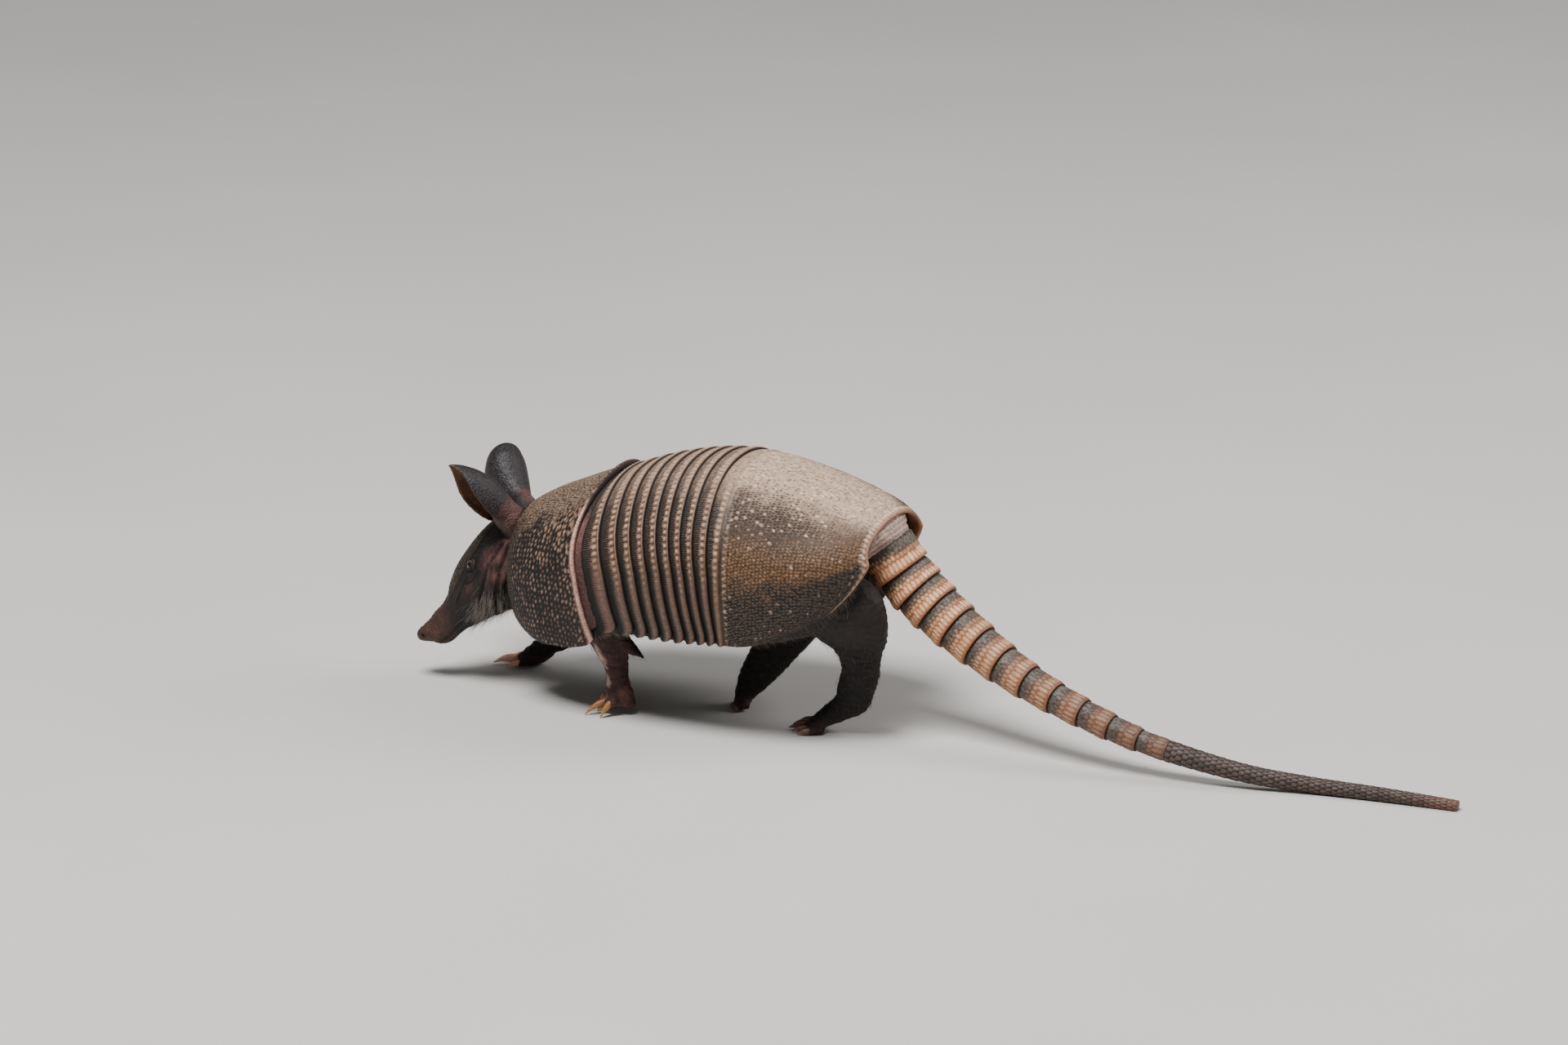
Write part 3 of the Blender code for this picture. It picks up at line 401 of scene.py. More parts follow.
def tail_frame(distance):
    """Middle, direction, side and up of the tail at distances along its line."""
    step = 1e-4
    middle = on_line(TAIL_LINE, distance)
    forward = unit(on_line(TAIL_LINE, distance + step) - on_line(TAIL_LINE, distance - step))
    side = unit(np.cross(forward, UP))
    up = np.cross(side, forward)
    return middle, forward, side, up


def tail_radius(distance):
    """The tail's radius at a distance from its first ring."""
    return along(TAIL_RADIUS, distance - TAIL_START)


def tail_surface(distance, turns, radius):
    """Points round the tail, turns from 0 to 1 from its right side over its top, kept off the floor."""
    middle, _, side, up = tail_frame(distance)
    angle = (turns * math.tau)[..., None]
    points = middle + radius[..., None] * (side * np.cos(angle) + up * np.sin(angle))
    points[..., 2] = np.maximum(points[..., 2], 0.0)
    return points


EYE_SIDES = {"left": 1.0, "right": -1.0}


def eye_frame(side):
    """Middle of an eyeball, sunk a little under the skin of the head, and the way it looks."""
    place = np.array(EYE_AT[0])
    degrees = np.array(EYE_AT[1] * EYE_SIDES[side])
    axis = head_normal(place, degrees)
    return head_point(place, degrees) - EYE_SINK * axis, axis


# How far the solids stand from the lengths above: measured on the box of the left eye, along x alone.
SHIFT = np.mean(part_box("eye_left"), axis=0) - eye_frame("left")[0]
SHIFT[1:] = 0.0


# ---- Meshes
def make_mesh(name, points, polygons, marks=None):
    """A mesh from points and face arrays, one array for each number of corners; marks are numbers kept at
    its points for the materials."""
    mesh = bpy.data.meshes.new(name)
    points = np.asarray(points, dtype=np.float64).reshape(-1, 3) + SHIFT
    mesh.vertices.add(len(points))
    mesh.vertices.foreach_set("co", points.astype(np.float32).ravel())
    corners = join(*[np.asarray(faces).ravel() for faces in polygons])
    sizes = join(*[np.full(len(faces), np.asarray(faces).shape[1]) for faces in polygons])
    mesh.loops.add(len(corners))
    mesh.loops.foreach_set("vertex_index", corners.astype(np.int32))
    mesh.polygons.add(len(sizes))
    starts = join([0], np.cumsum(sizes)[:-1])
    mesh.polygons.foreach_set("loop_start", starts.astype(np.int32))
    mesh.polygons.foreach_set("loop_total", sizes.astype(np.int32))
    mesh.update(calc_edges=True)
    mesh.shade_smooth()
    for mark, values in (marks or {}).items():
        layer = mesh.attributes.new(mark, "FLOAT", "POINT")
        layer.data.foreach_set("value", np.asarray(values, dtype=np.float32).ravel())
    return mesh


def put(name, data):
    """Add an object to the scene."""
    thing = bpy.data.objects.new(name, data)
    bpy.context.scene.collection.objects.link(thing)
    return thing


def add_piece(mesh, material, slot, *nodes):
    """Add a mesh as a piece of the animal: it rides on the root body and may stand for solid nodes."""
    mesh.materials.append(material)
    piece = put(mesh.name, mesh)
    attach(piece, "root")
    if nodes:
        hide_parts(*nodes)


def grid_faces(rows, columns, first=0):
    """Quads of a grid of points that is closed in its columns."""
    row = np.arange(rows - 1)[:, None]
    column = np.arange(columns)[None, :]
    after = (column + 1) % columns
    quads = np.stack([row * columns + column, row * columns + after,
                      (row + 1) * columns + after, (row + 1) * columns + column], axis=-1)
    return quads.reshape(-1, 4) + first


def end_caps(rows, columns):
    """The two faces that close a grid of closed rings at its ends."""
    near = np.arange(columns)[::-1]
    far = (rows - 1) * columns + np.arange(columns)
    return np.stack([near, far])


def grid_mesh(name, points, marks):
    """A closed mesh from a grid of points, each row a closed ring; a mark may be one number for all."""
    size = points.shape[:2]
    marks = {mark: np.broadcast_to(values, size) for mark, values in marks.items()}
    return make_mesh(name, points, [grid_faces(*size), end_caps(*size)], marks)


# ---- Finishes
class Value:
    """A socket of a material's nodes; sums, differences and products on it add Math nodes."""

    def __init__(self, finish, socket):
        self.finish = finish
        self.socket = socket

    def __add__(self, other):
        return self.finish.maths("ADD", self, other)

    def __sub__(self, other):
        return self.finish.maths("SUBTRACT", self, other)

    def __rsub__(self, other):
        return self.finish.maths("SUBTRACT", other, self)

    def __mul__(self, other):
        return self.finish.maths("MULTIPLY", self, other)

    __radd__ = __add__
    __rmul__ = __mul__


class Finish:
    """A Principled material, and the calls that build its nodes."""

    def __init__(self, name, **constants):
        self.material = bpy.data.materials.new(name)
        self.material.use_nodes = True
        self.tree = self.material.node_tree
        self.shader = self.tree.nodes["Principled BSDF"]
        self.place = self.node("ShaderNodeTexCoord", {}, {}, "Object")
        for socket, value in constants.items():
            self.feed(socket.replace("_", " "), value)

    def node(self, kind, settings, inputs, output=0):
        """Add a node: its settings first, then the values or links of its sockets."""
        node = self.tree.nodes.new(kind)
        for name, value in settings.items():
            setattr(node, name, value)
        for name, value in inputs.items():
            self.plug(node.inputs[name], value)
        return Value(self, node.outputs[output])

    def plug(self, socket, value):
        """Link a value into a socket, or set the socket to a plain number or colour."""
        if isinstance(value, Value):
            self.tree.links.new(value.socket, socket)
        elif socket.type == "RGBA":
            socket.default_value = (*value[:3], 1.0)
        else:
            socket.default_value = value

    def feed(self, socket, value):
        """Set or link a socket of the surface's own shader."""
        self.plug(self.shader.inputs[socket], value)

    def maths(self, operation, first, second):
        """A Math node on two values."""
        return self.node("ShaderNodeMath", {"operation": operation}, {0: first, 1: second})

    def mark(self, name):
        """The named number kept at the mesh's points."""
        return self.node("ShaderNodeAttribute", {"attribute_name": name}, {}, "Fac")

    def noise(self, scale, detail=2.0, roughness=0.5):
        """Fine random blotches, fixed to the piece."""
        return self.node("ShaderNodeTexNoise", {}, {"Vector": self.place, "Scale": scale, "Detail": detail,
                                                    "Roughness": roughness})

    def cells(self, scale):
        """Distance from the nearest of many random points, fixed to the piece."""
        return self.node("ShaderNodeTexVoronoi", {}, {"Vector": self.place, "Scale": scale}, "Distance")

    def between(self, value, low, high, start=0.0, end=1.0):
        """Carry a value from the range low-high into start-end, held at its ends."""
        return self.node("ShaderNodeMapRange", {}, {"Value": value, "From Min": low, "From Max": high,
                                                    "To Min": start, "To Max": end})

    def blend(self, amount, first, second):
        """Mix of two colours by an amount."""
        node = self.tree.nodes.new("ShaderNodeMix")
        node.data_type = "RGBA"
        self.plug(node.inputs["Factor"], amount)
        self.plug(node.inputs[6], first)
        self.plug(node.inputs[7], second)
        return Value(self, node.outputs[2])

    def lay(self, mark, color, other):
        """A colour with another laid over it by a mark."""
        return self.blend(self.mark(mark), color, other)

    def shade(self, color, amount):
        """A colour made darker or lighter by a factor that varies over the surface."""
        return self.node("ShaderNodeVectorMath", {"operation": "SCALE"}, {0: color, "Scale": amount})

    def bump(self, height, distance, strength=1.0):
        """Fine relief on the normal, distance metres high."""
        normal = self.node("ShaderNodeBump", {}, {"Height": height, "Distance": distance,
                                                  "Strength": strength}, "Normal")
        self.feed("Normal", normal)


def tint(red, green, blue):
    """A colour from its usual 0-255 display values, as linear light."""
    return tuple(((value / 255 + 0.055) / 1.055) ** 2.4 if value > 10 else value / 3294
                 for value in (red, green, blue))


def times(color, share):
    """A colour with each of its parts times a share."""
    return tuple(share * part for part in color)


SKIN_PINK = tint(126, 84, 78)


def horn_finish(name, ground, pale, rim, warm, dust_and_top_light, grain):
    """Scaly horn: a dark ground, with warm and dusty regions, pale scutes, a rim and pink skin laid over
    it by the mesh's marks; noise varies all of it.  The dust also paints light on the top of the back, and
    the deep mark darkens dark horn and paints shade in grooves, under overlapping edges and low down."""
    horn = Finish(name, IOR=1.45)
    blotch = horn.noise(90.0, 3.0, 0.6)
    fine = horn.noise(grain, 3.0, 0.7)
    color = horn.blend(horn.between(blotch, 0.35, 0.65), ground, times(ground, 1.8))
    color = horn.lay("warm", color, warm)
    # Dust, which also stands for painted light on the top of the back.
    color = horn.blend(horn.mark("dust_and_top_light") * horn.between(fine, 0.25, 0.6, 0.6, 1.0), color, dust_and_top_light)
    color = horn.blend(horn.mark("pale") * horn.between(fine, 0.2, 0.55, 0.7, 1.0), color, pale)
    color = horn.lay("rim", color, rim)
    color = horn.lay("pink", color, SKIN_PINK)
    streaks = horn.between(horn.noise(grain * 0.4, 4.0, 0.7), 0.3, 0.7, 0.66, 1.26)
    # Darkened by the deep mark: dark horn, and painted shade in grooves, under overlaps and low down.
    color = horn.shade(color, streaks * (1.0 - 0.88 * horn.mark("deep")))
    horn.feed("Base Color", color)
    horn.feed("Roughness", horn.between(fine, 0.3, 0.7, 0.36, 0.6) + 0.25 * horn.mark("deep"))
    horn.bump(fine + 0.7 * horn.cells(grain * 0.55), 0.0003, 0.8)
    return horn.material


# ---- Settings
def metres(name, description, default):
    """A size in metres."""
    return FloatProperty(name=name, description=description, default=default, unit="LENGTH", precision=5)


def paint(name, description, default):
    """A colour."""
    return FloatVectorProperty(name=name, description=description, default=default, subtype="COLOR",
                               min=0.0, max=1.0)


class ShellSettings(PropertyGroup):
    """Sizes and colours of the shell."""
    spot_pitch: metres("Shoulder scutes", "Distance between the shoulder shield's scutes", 0.0036)
    spot_height: metres("Scute height", "How far the shoulder's scutes stand up", 0.00045)
    band_pitch: metres("Band scutes", "Distance between the pale bumps of a band", 0.0042)
    band_tuck: metres("Band overlap", "How far a band runs in under the plate before it", 0.0025)
    rim_width: metres("Shoulder rim", "Width of the shoulder shield's raised rear rim", 0.003)
    shoulder_ground: paint("Shoulder ground", "Horn between the shoulder's scutes", tint(28, 19, 17))
    shoulder_spot: paint("Shoulder scutes", "Pale scutes of the shoulder", tint(180, 142, 120))
    shoulder_rim: paint("Shoulder rim", "Raised rear rim of the shoulder", tint(240, 186, 168))
    # The bands' fronts show darker than this ground: scute_row paints shade there, where each band runs in
    # under the one before.
    band_ground: paint("Band ground", "Dark front of each band", tint(38, 30, 25))
    band_pale: paint("Band bumps", "Pale bumps of each band", tint(228, 186, 156))
    band_rim: paint("Band rim", "Smooth rear rim of each band", tint(176, 128, 94))
    hip_ground: paint("Hip ground", "Horn between the hip's scutes", tint(38, 27, 20))
    hip_pale: paint("Hip scutes", "Pale scutes of the hip", tint(236, 202, 176))
    hip_gold: paint("Hip flank", "Golden brown of the hip's flank", tint(158, 112, 70))
    # Colour of the dust, also used as painted light: the top of the back is painted lighter with it.
    dust_and_top_light: paint("Dust", "Light dust on the top of the back", tint(232, 198, 172))


class SkinSettings(PropertyGroup):
    """Sizes and colours of the skin, eyes and claws."""
    head_grain: metres("Head mesh", "Size of the head's mesh cells", 0.00083)
    body_grain: metres("Body mesh", "Size of the body's mesh cells", 0.00124)
    lid_width: metres("Lid folds", "Height of the eyelids' folds", 0.00036)
    skin: paint("Skin", "Dark skin of the body", tint(25, 16, 13))
    pink: paint("Pink skin", "Bare pink skin", SKIN_PINK)
    head: paint("Head", "Scaly skin of the head", tint(38, 31, 27))
    snout: paint("Snout", "Bare snout", tint(88, 58, 46))
    ear: paint("Ear", "Back of the ears", tint(48, 45, 49))
    leg: paint("Legs", "Skin of the legs", tint(19, 12, 9))
    front_claw: paint("Front claws", "Horn of the long front claws", tint(240, 182, 160))
    hind_claw: paint("Hind claws", "Dull horn of the hind claws", tint(112, 80, 64))
    iris: paint("Iris", "Colour of the eyes", tint(22, 13, 10))


class TailSettings(PropertyGroup):
    """Sizes and colours of the tail."""
    scute: metres("Tail scutes", "Distance between scutes round a ring", 0.0031)
    scute_height: metres("Scute height", "How far the tail's scutes stand up", 0.00045)
    ground: paint("Ground", "Grey horn of the rings", tint(68, 57, 49))
    peach: paint("Scutes", "Peach scutes of the rings", tint(255, 202, 158))
    rim: paint("Rim", "Orange rim of the rings", tint(190, 112, 66))
    dark: paint("End", "Dark horn of the tail's end", tint(64, 51, 45))


class HairSettings(PropertyGroup):
    """Numbers, sizes and colours of the hair."""
    cheek_count: IntProperty(name="Cheek bristles", description="How many bristles hang from the cheeks",
                             default=1400, min=0, max=6000)
    belly_count: IntProperty(name="Belly hair", description="How many hairs hang below the shell",
                             default=3000, min=0, max=9000)
    leg_count: IntProperty(name="Leg hair", description="How many short hairs lie on the legs",
                           default=4000, min=0, max=9000)
    thickness: metres("Thickness", "Width of a bristle at its root", 0.00026)
    pale: paint("Bristles", "Colour of the bristles", tint(104, 94, 84))
    dark: paint("Leg hair", "Colour of the leg hair", tint(58, 43, 35))


class StageSettings(PropertyGroup):
    """Floor, lights and camera."""
    floor: paint("Floor", "Plain pale floor", tint(205, 202, 198))
    key_power: FloatProperty(name="Key light", description="Power of the large soft light", default=124.0,
                             min=0.0, unit="POWER")
    fill: FloatProperty(name="Fill", description="Brightness of the room's pale light", default=0.17,
                        min=0.0)


# ---- The shell's plates
ARC_SAMPLES = 801
INNER_COLUMNS = 7
# Each plate's grid: its number of stations, and of turns round the arch.
SHOULDER_GRID = (140, 621)
FOLD_GRID = (26, 421)
BAND_TURNS = 741
FOLD_THICKNESS = 0.0014
HIP_GRID = (158, 561)
HEAD_GRID = (150, 171)


def even_turns(station, count):
    """Turns from -1 to 1 with equal lengths of arc between them at a station."""
    fine = np.linspace(-1.0, 1.0, ARC_SAMPLES)
    length = run_lengths(shell_point(np.full(ARC_SAMPLES, station), fine))
    return np.interp(np.linspace(0.0, length[-1], count), length, fine)


def shell_lengths(surface, stations):
    """Length of arc across the back from the middle line, and along the flank from the front."""
    steps = lengths_of(np.diff(surface, axis=0))
    across = join(np.zeros((1, surface.shape[1])), np.cumsum(steps, axis=0))
    across = across - across[len(across) // 2]
    flank = shell_point(stations, np.full(len(stations), 0.5))
    ahead = run_lengths(flank)
    return across, np.broadcast_to(ahead[None, :], across.shape)


def shell_piece(name, stations, turns, lift, relief, thickness=PLATE_THICKNESS, lobe=0.0, inner=None,
                corner=0.955):
    """One plate: a fine grid over the arch, moved along its normal by a lift for each station and a relief
    for each point, closed by a rounded rear edge and a plain inner face.  Its lower rear corners are
    rounded off from the turn corner on, over the share lobe of its width; inner has the inner face's
    marks."""
    station, turn = np.meshgrid(stations, turns)
    past = held((np.abs(turns) - corner) / (1 - corner))
    squeeze = 1 - lobe * (1 - np.sqrt(np.maximum(1 - past ** 2.2, 0.0)))
    station = stations[0] + (station - stations[0]) * squeeze[:, None]
    surface = shell_point(station, turn)
    across, ahead = shell_lengths(surface, stations)
    height, marks = relief(across, ahead, station, turn)
    outer = surface + shell_normal(station, turn) * (lift[None, :] + height)[..., None]
    # Rear edge, inner face and front edge: (station, share of the thickness, extra step to the rear).
    span = stations[-1] - stations[0]
    inner_places = stations[-1] - span * np.linspace(0.004, 1.0, INNER_COLUMNS)
    places = join([stations[-1], stations[-1]], inner_places)
    depths = join([0.18, 0.55], np.ones(INNER_COLUMNS))
    pushes = join([0.00028, 0.00034], np.zeros(INNER_COLUMNS))
    back_station, back_turn = np.meshgrid(places, turns)
    taper = 1.0 - 0.55 * ramp(np.abs(turns), 0.97, 1.0)[:, None]
    back_lift = np.interp(back_station, stations, lift)
    back_station = stations[0] + (back_station - stations[0]) * squeeze[:, None]
    edge_height = np.where(depths[None, :] < 1.0, height[:, -1:], 0.0)
    normal = shell_normal(back_station, back_turn)
    sink = back_lift + edge_height - thickness * depths[None, :] * taper
    back = shell_point(back_station, back_turn) + normal * sink[..., None]
    back[..., 0] += pushes[None, :]
    points = join(outer, back, axis=1)
    whole = {}
    for mark in marks:
        values = np.broadcast_to(marks[mark], height.shape)
        # An inner face without marks of its own is darkened (deep 0.92): painted shade in the gap under the
        # plate.
        under = np.broadcast_to((inner or {"deep": 0.92}).get(mark, 0.0), len(turns))[:, None]
        whole[mark] = join(values, 0.4 * values[:, -1:] + 0.6 * under,
                           np.repeat(under, INNER_COLUMNS + 1, axis=1), axis=1)
    return grid_mesh(name, points, whole)


def shoulder_relief(across, ahead, station, turn):
    """Rows of oval scutes, broad and merging high at the rear; fine grains over the back and at the front,
    and a raised rim of small scales behind."""
    size = bpy.context.scene.armadillo_shell
    share = (station - SHIELD_FRONT) / (SHIELD_REAR - SHIELD_FRONT)
    place = np.stack([station, across, ahead], axis=-1)
    wander = noise(place, 0.01, 3)
    side_turn = np.abs(turn) + 0.06 * wander
    rear = ahead[:, -1:] - ahead
    rim = ramp(rear, size.rim_width * 1.12, size.rim_width * 0.88)
    top = ramp(side_turn, 0.4, 0.24) * (1 - rim)
    front = ramp(share, 0.16, 0.07) * (1 - rim)
    blotch_zone = ramp(share, 0.35, 0.65) * bell(side_turn, 0.42, 0.17)
    near_rim = ramp(rear, 0.01, 0.004) * bell(side_turn, 0.72, 0.22)
    ragged = 0.38 + 0.35 * blotch_zone + 0.25 * near_rim
    warp = 0.35 * (blotch_zone + near_rim)
    curve = ahead / size.spot_pitch + 1.1 * np.cos(across / 0.03) + warp * noise(place, 0.005, 9)
    bent = across / size.spot_pitch + warp * noise(place, 0.005, 10)
    beside, before, _, _, luck = scute_cells(bent, curve, ragged, 11)
    oval = np.hypot(beside / (1.15 + 0.5 * blotch_zone), before / 0.88) + 0.1 * noise(place, 0.0012, 12)
    wide = 0.33 + 0.16 * (luck - 0.5) + 0.04 * blotch_zone + 0.1 * near_rim
    spot = ramp(oval, wide + 0.08, wide - 0.26)
    _, _, grain_near, grain_next, grain_luck = scute_cells(across / 0.0021, ahead / 0.0021, 0.6, 23)
    grain = ramp(grain_near, 0.5, 0.18)
    grain_gap = ramp(grain_next - grain_near, 0.28, 0.02)
    _, _, scale_near, scale_next, scale_luck = scute_cells(across / 0.0021, rear / 0.0017, 0.45, 31)
    scale = ramp(scale_next - scale_near, 0.05, 0.4)
    plain = held(top + front)
    crest = bell(rear, size.rim_width * 0.4, size.rim_width * 0.34)
    mottle = patchy(place, 0.0017, 14)
    height = (1 - rim) * ((1 - plain) * size.spot_height * spot * (0.75 + 0.25 * luck)
                          + (plain + 0.3) * 0.00024 * grain)
    height += rim * (0.0006 * crest + 0.0003 * scale + 0.00016 * mottle)
    height += 0.002 * ramp(np.abs(turn), 0.62, 0.18) * ramp(rear, 0.012, 0.0) ** 1.5
    rim = rim * (0.16 + 0.84 * ramp(np.abs(turn), 0.26, 0.42))
    marks = {
        "pale": (1 - rim) * held((1 - plain) * spot ** 1.3 * (0.34 + 0.58 * luck + 0.2 * near_rim)
                                 * (0.55 + 0.45 * mottle)
                                 + top * grain * ramp(grain_luck, 0.45, 0.9) * 0.45
                                 + front * grain * 0.1),
        "rim": rim * held(0.35 + 1.2 * crest * (0.2 + 0.5 * scale + 0.3 * mottle)),
        "pink": rim * 0.3 * (1 - crest) * (0.6 + 0.4 * scale_luck),
        # Dust on the top of the shield, which also paints the top lighter as top light.
        "dust_and_top_light": (1 - rim) * top * (0.06 + 0.34 * grain * (0.4 + 0.6 * grain_luck)),
        "warm": (1 - rim) * held(0.6 * blotch_zone * spot * (1 - near_rim) + 0.45 * top * grain
                                 + 0.3 * front * grain
                                 + 0.1 * ramp(share, 0.5, 0.9) * ramp(side_turn, 0.6, 0.9)),
        # Darker: the dark ground between the scutes, and painted shade in the gaps between grains and
        # between the rim's scales.
        "deep": (1 - rim) * held(0.6 * grain_gap * plain + 0.3 * front + 0.58 * (1 - spot) * (1 - plain)
                                 + 0.35 * (1 - mottle) * plain + 0.16 * (1 - plain))
        + rim * (0.34 * (1 - scale) + 0.12 * (1 - mottle)),
    }
    return height, marks


def scute_row(across, share, turn, place, pitch, seed):
    """One row of a band's scutes, share from its front (0) to its rear edge (1): dark strokes in a tan
    net, a pale bump to each pitch and a thin light edge; low on the flank a smooth striped rib."""
    count = across / pitch + 0.5 + 0.08 * noise(place, 0.006, seed)
    beside = count - np.round(count)
    luck = chance(np.round(count), float(seed), 5)
    strokes = count * 3 + 0.3 * noise(place, 0.0022, seed + 5)
    stroke_luck = chance(np.round(strokes), float(seed), 6)
    low = ramp(np.abs(turn) + 0.04 * noise(place, 0.009, seed + 1), 0.62, 0.88)
    top = ramp(np.abs(turn) + 0.05 * noise(place, 0.012, seed + 4), 0.46, 0.18)
    full = 1 - low
    mottle = patchy(place, 0.0013, seed + 2)
    end = 0.46 + 0.2 * stroke_luck
    stroke = ramp(np.abs(strokes - np.round(strokes)), 0.42, 0.22)
    stroke = stroke * ramp(share, end + 0.06, end - 0.06) * ramp(share, 0.02, 0.1)
    bump = np.exp(-((beside / 0.26) ** 2 + ((share - 0.75) / 0.115) ** 2))
    between = ramp(np.abs(beside), 0.26, 0.44) * bell(share, 0.76, 0.13)
    stripe = 0.5 + 0.5 * np.sin(count * 6 * math.pi + 3.0 * noise(place, 0.004, seed + 3))
    rim = ramp(share, 0.93, 0.965)
    arch = np.sin(held(share) ** 1.3 * 2.8)
    height = full * (0.00034 * bump * (0.7 + 0.3 * luck) - 0.00022 * stroke - 0.0001 * between)
    height += low * (0.00007 * stripe * ramp(share, 0.1, 0.4) + 0.00085 * arch)
    height += 0.00016 * arch + 0.00005 * mottle - 0.00025 * ramp(share, 0.965, 1.0)
    net = (1 - stroke) * ramp(share, 0.06, 0.16) * ramp(share, 0.72, 0.6)
    marks = {
        "pale": held(full * ((1 - 0.35 * top) * bump * (0.55 + 0.45 * luck) + 0.22 * net * mottle)
                     + low * 0.2 * bell(share, 0.76, 0.16) * (0.4 + 0.6 * mottle)),
        "rim": rim * (0.45 + 0.4 * mottle) * (1 - 0.85 * low) * (1 - 0.6 * top) * ramp(share, 1.0, 0.97),
        # Dust high on the band, which also paints its top lighter as top light.
        "dust_and_top_light": held(top * (0.62 - 0.5 * stroke) * ramp(share, 0.02, 0.12) * (0.45 + 0.55 * mottle)
                     * ramp(share, 1.0, 0.92)),
        "warm": held(low * 0.55 * (0.3 + 0.7 * stripe) * ramp(share, 0.35, 0.75)
                     + full * (0.4 * ramp(share, 0.52, 0.68) + 0.15 * net)),
        # Darker: the dark strokes and the horn between the bumps, and painted shade on the band's front
        # where it runs in under the band before, at the rounded rear edge and low on the flank.
        "deep": np.clip(full * (0.8 * stroke * (1 - 0.45 * top) + 0.45 * between)
                        + 0.85 * ramp(share, 0.14, 0.0) + low * 0.85 * ramp(share, 0.6, 0.16)
                        + 0.25 * low * (1 - stripe) + 0.4 * (1 - top) * ramp(share, 0.55, 0.2)
                        + 0.7 * ramp(share, 0.965, 1.0), 0, 0.95),
    }
    return height, marks, low, stripe


def band_relief(across, ahead, station, turn):
    """One row of scutes over the whole band; the first bands are pink low on the flank."""
    size = bpy.context.scene.armadillo_shell
    start = ahead[:, :1] + size.band_tuck
    share = (ahead - start) / (ahead[:, -1:] - start)
    place = np.stack([station, across, ahead], axis=-1)
    seed = int(round(float(station[0, -1]) * 1e4)) % 97
    height, marks, low, stripe = scute_row(across, share, turn, place, size.band_pitch, seed)
    marks["pink"] = (low * 0.55 * ramp(share, 0.25, 0.7) * (0.4 + 0.6 * stripe)
                     * ramp(station[:, -1:], 0.009, -0.012))
    return height, marks


